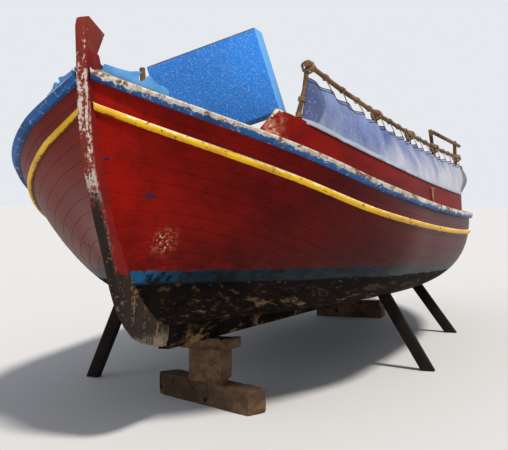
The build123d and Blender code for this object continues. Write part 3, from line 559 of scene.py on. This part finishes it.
def wash_paint():
    """Red paint on a pine board, faded pink at its sloped end and flaked at its edges."""
    f = Finish("faded_red_paint_on_pine", 0.55, **{"Specular IOR Level": 0.05})
    here = boat_frame(f)
    lines, bands = grain(f)
    corner = f.add("Attribute", attribute_name="corner").outputs["Fac"]
    # Faded in spots of 25 mm, and flaked along the edges in patches of 110 mm.
    spots = f.add("TexNoise", f.add("Mapping", f.where, None, None, (0.5, 1, 1)), 40, 6, 0.72)
    colour = f.add("Mix", f.add("MapRange", bands, 0.35, 0.7, **SMOOTH), "7C120C", "5C0E0B", **COLOURS)
    forward = f.add("MapRange", f.add("SeparateXYZ", here).outputs["X"], -0.60, -0.49, **SMOOTH)
    faded = f.add("Math", forward, f.add("MapRange", spots, 0.38, 0.56, **SMOOTH), **TIMES)
    colour = f.add("Mix", faded, colour, "B9685A", **COLOURS)
    ragged = f.add("Math", corner, f.add("Math", spots, 1.2, -0.6, **TIMES_PLUS), **PLUS)
    patches = f.add("MapRange", f.add("TexNoise", here, 9, 4, 0.55), 0.42, 0.52, **SMOOTH)
    edges = f.add("Math", f.add("MapRange", ragged, 0.86, 0.92, **SMOOTH), patches, **TIMES)
    ends = f.add("Math", forward, f.add("MapRange", spots, 0.55, 0.60, **SMOOTH), **TIMES)
    flaked = f.add("Math", edges, ends, **LARGER)
    primer = f.add("Mix", f.add("MapRange", lines, 0.4, 0.6, **SMOOTH), "D8CCC0", "8E7458", **COLOURS)
    colour = f.add("Mix", flaked, colour, primer, **COLOURS)
    relief = f.add("Bump", 0.5, 0.0010, None, lines)
    relief = f.add("Bump", -0.8, 0.0008, None, flaked, relief)
    return f.done(colour, relief)


def cover_paint():
    """Blue paint on plywood, chalked by the sun into white specks of 5 mm.

    A painted highlight turns its faces towards port a paler blue, and its upper edge is worn to brown wood.
    """
    f = Finish("chalked_blue_paint_on_plywood", 0.6, **{"Specular IOR Level": 0.2})
    fine = f.add("TexNoise", f.where, 210, 3, 0.7)
    clouds = f.add("TexNoise", f.where, 4, 4, 0.55)
    spots = f.add("TexNoise", f.where, 60, 5, 0.7)
    facing = f.add("SeparateXYZ", f.add("NewGeometry").outputs["True Normal"])
    # Faces turned to port, towards the light, take a painted highlight.
    lit_side = f.add("MapRange", facing.outputs["Y"], 0.5, 0.8, **SMOOTH)
    upper = f.add("MapRange", facing.outputs["Z"], 0.12, 0.24, **SMOOTH)
    upper = f.add("Math", upper, lit_side, operation="SUBTRACT", use_clamp=True)
    upper = f.add("Math", upper, f.add("MapRange", spots, 0.4, 0.5, **SMOOTH), **TIMES)
    bare = f.add("Math", f.add("MapRange", spots, 0.68, 0.71, **SMOOTH), upper, **LARGER)
    colour = f.add("Mix", f.add("MapRange", clouds, 0.35, 0.68, **SMOOTH), "2A84E6", "2878D4", **COLOURS)
    chalk = f.add("MapRange", fine, 0.54, 0.66, 0.0, 0.6, **SMOOTH)
    colour = f.add("Mix", chalk, colour, "B4D0EA", **COLOURS)
    # Painted highlight: a paler blue on the faces towards port.
    colour = f.add("Mix", f.add("Math", lit_side, 0.75, **TIMES), colour, "6CB6F2", **COLOURS)
    colour = f.add("Mix", bare, colour, "5E4F42", **COLOURS)
    return f.done(colour, f.add("Bump", 0.5, 0.0005, None, fine))


def stem_paint():
    """White paint flaking off red on the stem's front face, bare dark oak lower down."""
    f = Finish("flaked_white_and_red_paint_on_oak", 0.7, **{"Specular IOR Level": 0.2})
    here = boat_frame(f)
    _, across, high = f.add("SeparateXYZ", here).outputs
    _, bands = grain(f)
    # Flaked in spots of 18 mm and in upright streaks 42 mm wide.
    spots = f.add("TexNoise", here, 55, 6, 0.72)
    tall = f.add("TexNoise", f.add("Mapping", f.where, None, None, (1, 1, 0.12)), 24, 5, 0.7)
    worn = f.add("Math", spots, 0.5, f.add("Math", tall, 0.5, **TIMES), **TIMES_PLUS)
    front = f.add("MapRange", f.add("Math", across, operation="ABSOLUTE"), 0.0200, 0.0165, **SMOOTH)

    more_worn = f.add("Math", worn, f.add("MapRange", high, 0.98, 1.06, 0.0, 0.10, **SMOOTH), **PLUS)
    red = f.add("Mix", f.add("MapRange", bands, 0.35, 0.7, **SMOOTH), "7E1209", "620E08", **COLOURS)
    white = f.add("Mix", f.add("MapRange", more_worn, 0.46, 0.51, **SMOOTH), "CFC6BB", "7A2A1E", **COLOURS)
    paint = f.add("Mix", front, red, white, **COLOURS)

    wood = f.add("Mix", f.add("MapRange", tall, 0.35, 0.65, **SMOOTH), "2A1D15", "100B08", **COLOURS)
    wood = f.add("Mix", f.add("MapRange", worn, 0.545, 0.60, **SMOOTH), wood, "75583A", **COLOURS)
    foot = f.add("MapRange", high, 0.085, 0.04, **SMOOTH)
    foot = f.add("Math", foot, f.add("MapRange", worn, 0.44, 0.52, **SMOOTH), **TIMES)
    wood = f.add("Mix", foot, wood, "7D6E5C", **COLOURS)

    # Bare below half the front face's height, and below the waterline at the sides.
    frayed = f.add("Math", worn, 0.9, high, **TIMES_PLUS)
    ragged = f.add("Math", f.add("Math", worn, 0.2, -0.1, **TIMES_PLUS), high, **PLUS)
    sides = f.add("MapRange", ragged, 0.325, 0.312, **SMOOTH)
    bare = f.add("MapRange", frayed, 1.035, 0.995, **SMOOTH)
    bare = f.add("Math", bare, f.add("Math", front, sides, **LARGER), **TIMES)
    chips = f.add("MapRange", worn, 0.60, 0.64, 0.0, 0.9, **SMOOTH)
    colour = f.add("Mix", bare, paint, wood, **COLOURS)
    colour = f.add("Mix", chips, colour, "6B5138", **COLOURS)
    relief = f.add("Bump", 0.7, 0.0012, None, tall)
    relief = f.add("Bump", -0.7, 0.0010, None, chips, relief)
    return f.done(colour, relief)


HULL_PAINT, STEM_PAINT, RAIL_PAINT = hull_paint(), stem_paint(), rail_paint()
YELLOW_PAINT, WASH_PAINT, COVER_PAINT = yellow_paint(), wash_paint(), cover_paint()
BLUE_PAINT = worn_paint("blue_oil_paint_on_ash", "2F76BE", "1F5C9E", "C9D3D8", "8A7358", 0.42)
PALE_PAINT = worn_paint("pale_paint_on_deck_boards", "B9B6A6", "9C988A", "D9D6CB", "7D6A52", 0.45)
CHOCK_PAINT = worn_paint("light_blue_oil_paint_on_pine", "5B9AD4", "3F7DB8", "D5DDE2", "6A5238", 0.45)
BRANCH = bare_wood("peeled_branch", "957757", "5A4230", "2A1C12", 1.5)
CRIB_TIMBER = bare_wood("old_crib_timber", "6E543E", "3E2E22", "17110C", 0.6)
TARRED_PROP = bare_wood("tarred_prop", "241B15", "120D0A", "070504", 1.0)
HEM_CORD = bare_wood("tarred_hem_cord", "2B2B33", "15151B", "0B0B0E", 6.0)
# Forged iron under brown rust, pitted every 8 mm.
IRON = pitted("rusty_forged_iron", 0.75, (120, 5, 0.7), 0.4, 0.62, "3B2A20", "6E4026", Metallic=0.35)
# Hemp bleached to pale straw, with darker strands 4 mm wide.
HEMP = pitted("bleached_hemp_rope", 0.9, (260, 3, 0.6), 0.35, 0.65, "A98B66", "6E5338")
CANVAS = canvas_cloth()

# Hull planking: each strake a bowed board with eased edges, its hood end in the
# rabbet of the stem.
GAP, EASE, BACKED_OFF, EDGE_WIDE = 0.2, 1.1, 0.5, 9


def strake_rows(k):
    """Sections of strake k from the stem to the sternpost."""
    deep, ease = PLANK - BACKED_OFF, EASE * 1.4
    rows = []
    for j in range(LAST + 1):
        low, high = OUTER[j, k], OUTER[j, k + 1]
        wide = (high - low) / np.linalg.norm(high - low)
        in_low, in_high = NORMAL[j, k], NORMAL[j, k + 1]
        gap = GAP * (1 + 0.5 * math.sin(j * 0.9 + k * 2.3))
        a, b = low + wide * gap, high - wide * gap
        face = [SKIN[j, k * FINER + i] for i in range(1, FINER)]
        rows.append([
            a + in_low * deep, a + in_low * EASE, a + wide * ease + in_low * 0.05, a + wide * EDGE_WIDE,
            *face,
            b - wide * EDGE_WIDE, b - wide * ease + in_high * 0.05, b + in_high * EASE, b + in_high * deep,
        ])
    return rows


for side in ("port", "starboard"):
    for part, span in (("bottom", range(BILGE)), ("topside", range(BILGE, STRAKES))):
        bars = to_side([strake_rows(k) for k in span], side)
        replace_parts(bars_piece(f"{part}_strakes_{side}", bars, HULL_PAINT, 32), f"{part}_planking_{side}")


def below_sheer(j, down):
    """The point that far down the skin from the sheer at station j, and its direction inwards."""
    for k in range(STRAKES, 0, -1):
        size = np.linalg.norm(OUTER[j, k] - OUTER[j, k - 1])
        if down <= size:
            t = down / size
            n = NORMAL[j, k] * (1 - t) + NORMAL[j, k - 1] * t
            return OUTER[j, k] * (1 - t) + OUTER[j, k - 1] * t, n / np.linalg.norm(n)
        down -= size


# The rub rail over the deck edge, and the half-round yellow strake below it, at
# these distances down from the sheer. Both stand just off the planks.
RAIL_LOW, BAND_TOP, BAND_LOW, BAND_OUT, ARC = 15, 88, 116, 15, 6
RAIL_OFF, BAND_OFF = 0.4, 0.6
rail_rows, band_rows = [], []
for j in range(LAST + 1):
    n = NORMAL[j, STRAKES]
    out = -np.array((n[0], n[1], 0)) / math.hypot(n[0], n[1])
    top = OUTER[j, STRAKES] + UP * DECK - n * RAIL_OFF
    low = below_sheer(j, RAIL_LOW)[0] - n * RAIL_OFF
    rail_rows.append([
        top, top + out * 19, top + out * 23 - UP * 2, top + out * 25 - UP * 6,
        low + out * 21 + UP * 6, low + out * 17 + UP * 1, low + out * 6, low,
    ])
    (a, in_a), (b, in_b) = below_sheer(j, BAND_TOP), below_sheer(j, BAND_LOW)
    a, b = a - in_a * BAND_OFF, b - in_b * BAND_OFF
    middle, half = (a + b) / 2, (a - b) / 2
    turns = [math.pi * q / ARC for q in range(ARC + 1)]
    band_rows.append([middle + half * math.cos(t) - in_a * (BAND_OUT * math.sin(t)) for t in turns])


def carried_on(rows, ahead, astern):
    """The moulding carried past its last stations, over the sides of stem and sternpost."""
    first = [p + np.array((-ahead, 0.6, ahead * 0.25)) for p in rows[0]]
    last = [p + np.array((astern, 0.6, astern * 0.25)) for p in rows[-1]]
    return [first] + rows + [last]


for side in ("port", "starboard"):
    for name, rows, ahead, material in (
        ("rub_rail", rail_rows, 20, RAIL_PAINT),
        ("yellow_strake", band_rows, 14, YELLOW_PAINT),
    ):
        bars = to_side([carried_on(rows, ahead, astern=20)], side)
        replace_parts(bars_piece(f"{name}_moulding_{side}", bars, material, 40), f"{name}_{side}")

# Copper nails through the planks, painted over: two to a plank at each frame and
# at the hood ends, by a node tree. Head sizes are in metres, and Uneven is the
# share by which the smallest head is smaller.
FRAME_AT = [620, 840, 1110, 1400, 1700, 2040, 2370, 2710, 3050, 3390, 3730, 4070, 4400, 4720]
HEADS = {"Head radius": 0.0042, "Head height": 0.0014, "Uneven": 0.35}
FROM_END, CLEAR_OF_POSTS, SUNK = 22, 30, 0.2
HEAD_SIDES, CROWN, SEED = 8, 0.6, 5


def nail_heads(material):
    """Low domed heads on points that carry their outward direction."""
    tree = bpy.data.node_groups.new("plank_nails_heads", "GeometryNodeTree")
    tree.interface.new_socket("Geometry", in_out="INPUT", socket_type="NodeSocketGeometry")
    for label in HEADS:
        tree.interface.new_socket(label, in_out="INPUT", socket_type="NodeSocketFloat")
    tree.interface.new_socket("Geometry", in_out="OUTPUT", socket_type="NodeSocketGeometry")
    given = add(tree, "NodeGroupInput").outputs
    crown = add(tree, "Math", given["Head radius"], CROWN, **TIMES)
    # A blunt cone: its sides, its segments as they are, its two radii and its height.
    foot, tall = given["Head radius"], given["Head height"]
    head = add(tree, "GeometryNodeMeshCone", HEAD_SIDES, None, None, crown, foot, tall)
    facing = add(tree, "GeometryNodeInputNamedAttribute", "outwards", data_type="FLOAT_VECTOR")
    turned = add(tree, "FunctionNodeAlignRotationToVector", None, None, facing, axis="Z")
    least = add(tree, "Math", 1.0, given["Uneven"], operation="SUBTRACT")
    size = add(tree, "FunctionNodeRandomValue", least, 1.0, None, SEED, data_type="FLOAT")
    heads = add(tree, "GeometryNodeInstanceOnPoints", given["Geometry"], None, head, None, None, turned, size)
    real = add(tree, "GeometryNodeRealizeInstances", heads)
    add(tree, "NodeGroupOutput", add(tree, "GeometryNodeSetMaterial", real, None, material))
    return tree


def on_seam(grid, k, s):
    """The grid's value on the lower edge of strake k, that far aft."""
    return np.array([np.interp(s, OUTER[:, k, 0], grid[:, k, c]) for c in range(3)])


points, outwards = [], []


def nail(p, inwards):
    """One nail on each side of the boat, its head let a little into the plank."""
    for flip in ((1, 1, 1), TO_STARBOARD):
        points.append((p + inwards * SUNK) * flip)
        outwards.append(-inwards * flip)


for s in FRAME_AT:
    for k in range(STRAKES):
        if not OUTER[0, k, 0] + CLEAR_OF_POSTS < s < OUTER[LAST, k, 0] - CLEAR_OF_POSTS:
            continue
        low, high = on_seam(OUTER, k, s), on_seam(OUTER, k + 1, s)
        out_of_line = np.array((6 * math.sin(k * 3 + s), 0, 0))
        for t in (0.28, 0.72):
            nail(low * (1 - t) + high * t + out_of_line, on_seam(NORMAL, k, s))

# At the hood ends the nails start with the fourth strake.
for k in range(3, STRAKES):
    for j, aft in ((0, 1), (LAST, -1)):
        for t in (0.3, 0.7):
            p = OUTER[j, k] * (1 - t) + OUTER[j, k + 1] * t
            along = OUTER[j + aft, k] * (1 - t) + OUTER[j + aft, k + 1] * t - p
            nail(p + along / np.linalg.norm(along) * FROM_END, NORMAL[j + aft, k])
mesh = bpy.data.meshes.new("plank_nails")
mesh.from_pydata([tuple(place(p)) for p in points], [], [])
layer = mesh.attributes.new("outwards", "FLOAT_VECTOR", "POINT")
for i, n in enumerate(outwards):
    layer.data[i].vector = TILT.to_3x3() @ Vector((-n[0], n[1], n[2]))
nails = laid("plank_nails", mesh)
heads = nails.modifiers.new("heads", "NODES")
heads.node_group = nail_heads(HULL_PAINT)
for item in heads.node_group.interface.items_tree:
    if item.in_out == "INPUT" and item.name in HEADS:
        heads[item.identifier] = HEADS[item.name]
settled(nails)
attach(nails, "hull")

# CAD nodes with rounded edges.
soften("stem", STEM_PAINT, 0.003)
soften("sternpost", HULL_PAINT, 0.003)
soften("keel", HULL_PAINT, 0.003)
soften("hatch_coaming", BLUE_PAINT, 0.004)
soften("rudder", BLUE_PAINT, 0.005, "rudder_body")
soften("tiller", BRANCH, 0.005, "rudder_body")
for side in ("port", "starboard"):
    soften(f"bow_chock_{side}", CHOCK_PAINT, 0.002)
soften("hatch_cover", COVER_PAINT, 0.006, segments=3)
soften("bow_peg", BRANCH, 0.003)
soften("short_pole_port", BRANCH, 0.003)
for end in ("forward", "aft"):
    soften(f"keel_crib_{end}", CRIB_TIMBER, 0.005, rough=0.004, cell=0.007)
for end in ("forward", "aft"):
    for side in ("port", "starboard"):
        soften(f"prop_{end}_{side}", TARRED_PROP, 0.006)

# CAD nodes that keep their mesh and get a material.
for material, nodes in (
    (PALE_PAINT, (
        "foredeck", "after_deck", "covering_board_port", "covering_board_starboard", "deck_beams",
        "breasthook", "breasthook_aft", "frames", "riser_port", "riser_starboard", "thwart_forward",
        "thwart_middle", "thwart_aft", "thwart_knees", "floorboards",
    )),
    (IRON, ("gudgeons", "pintles", "stem_ring")),
):
    for node in nodes:
        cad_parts[node].data.materials.clear()
        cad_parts[node].data.materials.append(material)

# Washboard on the port side, its forward end sloped down to the foredeck.
WASH_IN, WASH_HIGH, WASH_THICK, NOSE_HIGH = 46, 130, 16, 24
WASH_FROM, FULL_HIGH_AT, FOREDECK_TO = 480, 550, 1086
rows = []
for s in [*np.linspace(WASH_FROM, FULL_HIGH_AT, 6), *np.linspace(600, 3900, 60)]:
    y, z = sheer(s)
    y -= WASH_IN
    top = z + np.interp(s, (WASH_FROM, FULL_HIGH_AT), (NOSE_HIGH, WASH_HIGH))
    foot = (deck_top(s, y - WASH_THICK) if s < FOREDECK_TO else z) + 1
    rows.append([
        (s, y, foot), (s, y - WASH_THICK, foot), (s, y - 20, top - 3), (s, y - 17, top),
        (s, y - 7, top), (s, y - 4, top - 3), (s, y - 3.7, top - 13),
    ])
board = bars_piece("washboard_plank_port", [rows], WASH_PAINT, 40, corners=[0, 0, 1, 1, 1, 1, 0.7])
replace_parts(board, "washboard_port")

# Pole rail: how far it stands inside the sheer, at points along it.
RAIL_UP, RAIL_THICK, RAIL_FROM, RAIL_TO = 360, 10.5, 700, 3400
RAIL_LINE = [(700, 66), (970, 100), (1390, 122), (2000, 116), (2600, 105), (3400, 56)]


def on_rail(s):
    """The rail's middle line."""
    y, z = sheer(s)
    inside = between([r[1] for r in RAIL_LINE], [r[0] for r in RAIL_LINE], s)
    return np.array((s, y - inside, z + RAIL_UP))


def branch(points, radii, sides=10, seed=1):
    """Rows of rings round a line of points, uneven like a branch."""
    rows = []
    for i, p in enumerate(points):
        d = np.array(points[min(i + 1, len(points) - 1)]) - np.array(points[max(i - 1, 0)])
        d = d / np.linalg.norm(d)
        aside = np.cross(d, (0.2, 0.3, 1.0))
        aside /= np.linalg.norm(aside)
        above = np.cross(aside, d)
        ring = []
        for c in range(sides):
            t = 2 * math.pi * c / sides
            r = radii[i] * (1 + 0.16 * noise.noise(Vector((i * 0.35 + seed * 7, math.cos(t), math.sin(t)))))
            ring.append(np.array(p) + aside * r * math.cos(t) + above * r * math.sin(t))
        rows.append(ring)
    return rows


def knots(i, *seed):
    """Zero, or more where a knot swells the branch."""
    return max(0, noise.noise(Vector((i, *seed))))


# A peeled branch, thinner aft.
RINGS = 90
line = [on_rail(s) for s in np.linspace(RAIL_FROM, RAIL_TO, RINGS)]
radii = [RAIL_THICK * (0.95 - 0.12 * i / RINGS + 0.10 * knots(i * 0.31, 3, 1)) for i in range(RINGS)]
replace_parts(bars_piece("branch_rail_port", [branch(line, radii)], BRANCH, 60), "canvas_rail_port")

# Posts cut from branches, lashed inside the rail: how far aft their head and their
# foot are, how far they reach past the rail, and their radius.
POSTS = [
    (730, 652, 20, 10),
    (1425, 1425, 24, 12),
    (2035, 2035, 24, 12),
    (2640, 2640, 112, 12),
    (3350, 3370, 112, 13),
]
POST_STEPS, FORE_HEAD_IN, HEAD_IN, FOOT_IN = 22, 14, 22, 36
posts = []
for n, (head_s, foot_s, over, radius) in enumerate(POSTS):
    head = on_rail(head_s) - np.array((0, HEAD_IN if n else FORE_HEAD_IN, 0))
    y, z = sheer(foot_s)
    y -= WASH_IN + FOOT_IN
    foot = np.array((foot_s, y, (deck_top(foot_s, y) if foot_s < FOREDECK_TO else z) - 1))
    tip = head + (head - foot) / np.linalg.norm(head - foot) * over
    if n == 0:
        FORE_FOOT, FORE_HEAD = foot, tip
    line, radii = [], []
    for i in range(POST_STEPS + 1):
        up = i / POST_STEPS
        bend = np.array((4 * math.sin(i * 0.5 + n), 3 * math.cos(i * 0.4), 0)) * math.sin(math.pi * up)
        line.append(foot + (tip - foot) * up + bend)
        radii.append(radius * (1.05 - 0.15 * up + 0.14 * knots(i * 0.5, n, 4)))
    posts.append(branch(line, radii, 10, n + 2))
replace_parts(bars_piece("branch_posts_port", posts, BRANCH, 60), "canvas_stanchions_port")

# Canvas laced under the rail: folds hang from each lace and fade to the hem. Its
# forward end turns in to the fore post.
LACES, CANVAS_FROM, CANVAS_TO, CANVAS_HIGH = 18, 650, 3360, 0.24
ACROSS, DOWNS, TURNED_ROWS = 240, 26, 4
# The hem lies outside the washboard, below its top. The upper edge hangs outside
# and below the rail, sags between laces, and lies aft of the hem at the fore end.
HEM_OUT, HEM_DOWN = 2.0, 12
EDGE_OUT, EDGE_DOWN, EDGE_SAG, EDGE_AFT = 13, 50.0, 8, 58
LAID_ON_POST = (0, 11, 0)
CANVAS_LONG = CANVAS_TO - CANVAS_FROM
verts, quads, uvs = [], [], []
for i in range(ACROSS + 1):
    u = i / ACROSS
    s = CANVAS_FROM + CANVAS_LONG * u
    y, z = sheer(s)
    head = on_rail(min(max(s + EDGE_AFT * (1 - u * 0.8), RAIL_FROM + 4), RAIL_TO - 2))
    hang = abs(math.sin(math.pi * u * LACES))
    low = np.array((s, y - WASH_IN + HEM_OUT, z + WASH_HIGH - HEM_DOWN))
    top = head + np.array((0, EDGE_OUT, -EDGE_DOWN - EDGE_SAG * hang))
    deep = 8.0 * (0.6 + 0.8 * abs(noise.noise(Vector((u * 9, 0, 3)))))
    turned = max(0.0, 1 - i / TURNED_ROWS) ** 1.5
    for m in range(DOWNS + 1):
        v = m / DOWNS
        p = low * (1 - v) + top * v
        # Folds from the laces, broad and small wrinkles, and a belly that is fuller aft.
        sway = math.sin(math.pi * v) ** 0.7
        fold = math.cos(2 * math.pi * u * LACES) * deep * v ** 1.3
        fold += 24 * noise.noise(Vector((u * 26 + v * 0.7, v * 0.9, 2))) * sway
        fold += 11 * noise.noise(Vector((u * 64 - v * 1.1, v * 1.3, 7))) * sway
        belly = 12 * math.sin(math.pi * v) + 26 * max(0.0, u - 0.93) / 0.07 * math.sin(math.pi * v) ** 2
        p = p + np.array((0, 1, 0.15)) * (fold + belly)
        p[2] += 1.5 * noise.noise(Vector((u * 60, v * 3, 5)))
        if turned:
            up = min(1.0, max(0.0, (p[2] - FORE_FOOT[2]) / (FORE_HEAD[2] - FORE_FOOT[2])))
            p = p * (1 - turned) + (FORE_FOOT * (1 - up) + FORE_HEAD * up + LAID_ON_POST) * turned
        verts.append(place(p))
        uvs.append((u * CANVAS_LONG / 1000, v * CANVAS_HIGH))
for i in range(ACROSS):
    for m in range(DOWNS):
        a = i * (DOWNS + 1) + m
        quads.append((a, a + 1, a + DOWNS + 2, a + DOWNS + 1))
mesh = bpy.data.meshes.new("spray_cloth")
mesh.from_pydata([tuple(v) for v in verts], [], quads)
layer = mesh.uv_layers.new(name="cloth")
for loop in mesh.loops:
    layer.data[loop.index].uv = uvs[loop.vertex_index]
for p in mesh.polygons:
    p.use_smooth = True
mesh.materials.append(CANVAS)
cloth = laid("spray_cloth", mesh)
thickness = cloth.modifiers.new("thickness", "SOLIDIFY")
thickness.thickness, thickness.offset = 0.002, 0
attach(cloth, "hull")
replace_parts(cloth, "canvas_port")


def canvas_row(down):
    """Points along the canvas, that many rows below its upper edge, in the boat's frame."""
    row = [BACK @ Vector(verts[i * (DOWNS + 1) + DOWNS - down]) for i in range(ACROSS + 1)]
    return [np.array(p) * (-1000, 1000, 1000) for p in row]


# Cords stitched into the canvas along its upper edge.
EYELET_ROW = 2
hems = []
for down in (0, EYELET_ROW):
    line = [p + np.array((0, 1.5, 0)) for p in canvas_row(down)]
    hems.append(branch(line, [1.7] * len(line), 6, 5))


def wound(centre, along, radius, turns, pitch, thick, steps_a_turn=14):
    """One rope wound round a pole that runs along a direction."""
    d = Vector(along).normalized()
    aside = d.cross(Vector((0.1, 0.2, 1))).normalized()
    above = aside.cross(d)
    points = []
    steps = int(turns * steps_a_turn)
    for i in range(steps + 1):
        t = 2 * math.pi * i / steps_a_turn
        run = (i / steps - 0.5) * pitch * turns
        r = radius * (1 + 0.05 * math.sin(3.1 * t + centre[0]))
        points.append(np.array(Vector(centre) + d * run + aside * r * math.cos(t) + above * r * math.sin(t)))
    return branch(points, [thick] * len(points), 6, 3)


# Rope: a turn round the rail with two leads to each eyelet.
ropes = []
eyelets = canvas_row(EYELET_ROW)
for n in range(1, LACES):
    s = CANVAS_FROM + CANVAS_LONG * n / LACES
    at = on_rail(min(s + 40, RAIL_TO - 10))
    along = on_rail(min(s + 60, RAIL_TO - 2)) - on_rail(s + 20)
    ropes.append(wound(at, along, radius=12.8, turns=1.5, pitch=9, thick=2.0))
    eye = eyelets[round(ACROSS * n / LACES)]
    for lead in (-9, 9):
        start = at + np.array((lead, 4, -10))
        middle = (start + eye) / 2 + np.array((lead / 4, 3, 0))
        ropes.append(branch([start, middle, eye + np.array((0, 3, 0))], [1.6] * 3, 6, n))

# Crossed lashings of each post head to the rail, with turns round the rail aft of
# them, and two lashings lower down the fore post.
for head_s, *_ in POSTS:
    at = on_rail(max(head_s, RAIL_FROM + 6))
    along = on_rail(min(head_s + 20, RAIL_TO - 2)) - on_rail(max(head_s - 20, RAIL_FROM + 2))
    inside, aft = at + np.array((0, -11, 0)), at + np.array((26, 0, 0))
    for cross in (26, -26):
        slanted = along + np.array((0, 0, cross))
        ropes.append(wound(inside, slanted, radius=25, turns=2, pitch=7, thick=2.6, steps_a_turn=20))
    ropes.append(wound(aft, along, radius=13.4, turns=2.6, pitch=6, thick=2.4))
for down in (0.42, 0.60):
    at = FORE_HEAD + (FORE_FOOT - FORE_HEAD) * down
    ropes.append(wound(at, FORE_HEAD - FORE_FOOT, radius=13, turns=3, pitch=6, thick=2.6))

# Two strops of rope, each hung from a pin through the washboard: (place, drop).
PIN_UP, LOOP_STEPS = 92, 24
for s, drop in ((2180, 52), (2205, 70)):
    y, z = sheer(s)
    loop = []
    for i in range(LOOP_STEPS + 1):
        t = 2 * math.pi * i / LOOP_STEPS
        height = z + PIN_UP - drop / 2 + drop / 2 * math.cos(t)
        loop.append(np.array((s + 11 * math.sin(t), y - WASH_IN + 4, height)))
    ropes.append(branch(loop, [2.6] * len(loop), 6, 4))
    pin = [np.array((s, y - WASH_IN - 12, z + PIN_UP + 1)), np.array((s, y - WASH_IN + 10, z + PIN_UP - 1))]
    ropes.append(branch(pin, [5, 5], 8, 1))
bars_piece("rail_lashings", ropes, HEMP, crease=180)
hem = bars_piece("canvas_hem_cords", hems, HEM_CORD, crease=180)

# Camera at the photograph's place and angle, with the picture taken as 508 x 450.
DOWN = math.radians(1.975)
camera = laid("camera", bpy.data.cameras.new("camera"))
camera.data.lens, camera.data.sensor_width, camera.data.sensor_fit = 63.7, 36.0, "HORIZONTAL"
camera.data.clip_end = 200
camera.location = (MIDDLE / 1000 + 2.6167, ASIDE / 1000 + 1.4592, 0.961)
look = Vector((-0.9511 * math.cos(DOWN), -0.3089 * math.cos(DOWN), -math.sin(DOWN)))
camera.rotation_euler = look.to_track_quat("-Z", "Y").to_euler()
bpy.context.scene.camera = camera

# Pale, dull floor.
FLOOR_HALF = 60
corners = [(x * FLOOR_HALF, y * FLOOR_HALF, 0) for x, y in ((-1, -1), (1, -1), (1, 1), (-1, 1))]
mesh = bpy.data.meshes.new("floor")
mesh.from_pydata(corners, [], [(0, 1, 2, 3)])
pale = Finish("pale_studio_floor", 0.9)
pale.shader.inputs["Base Color"].default_value = rgb("D9DBDE")
mesh.materials.append(pale.material)
laid("floor", mesh)

# Pale backdrop for what the camera sees, softer light for all else.
world = bpy.data.worlds.new("studio")
bpy.context.scene.world = world
world.use_nodes = True
sky = world.node_tree
sky.nodes.clear()
ray = add(sky, "LightPath").outputs
seen = add(sky, "Math", ray["Is Camera Ray"], ray["Is Glossy Ray"], **LARGER)
seen = add(sky, "Math", seen, ray["Is Transmission Ray"], **LARGER)
soft = add(sky, "Background", "E4E8EE", 0.42)
plain = add(sky, "Background", "E6E9ED", 1.0)
add(sky, "OutputWorld", add(sky, "MixShader", seen, soft, plain))


def sun(name, where, target, strength, angle, colour):
    """A sun lamp whose light comes from one point towards another."""
    data = bpy.data.lights.new(name, "SUN")
    data.energy, data.angle, data.color = strength, math.radians(angle), rgb(colour)[:3]
    piece = laid(name, data)
    piece.location = where
    piece.rotation_euler = (Vector(target) - Vector(where)).to_track_quat("-Z", "Y").to_euler()


# High key light from ahead and to port, as on the photographed boat.
sun("key", (3.4, 4.2, 9.0), (0, 0, 0.5), 3.1, 8.0, "FFF6EA")
sun("fill", (8.0, -4.0, 3.5), (0, 0, 0.7), 0.45, 40.0, "F4F6FF")
bpy.context.scene.view_settings.view_transform = "Standard"
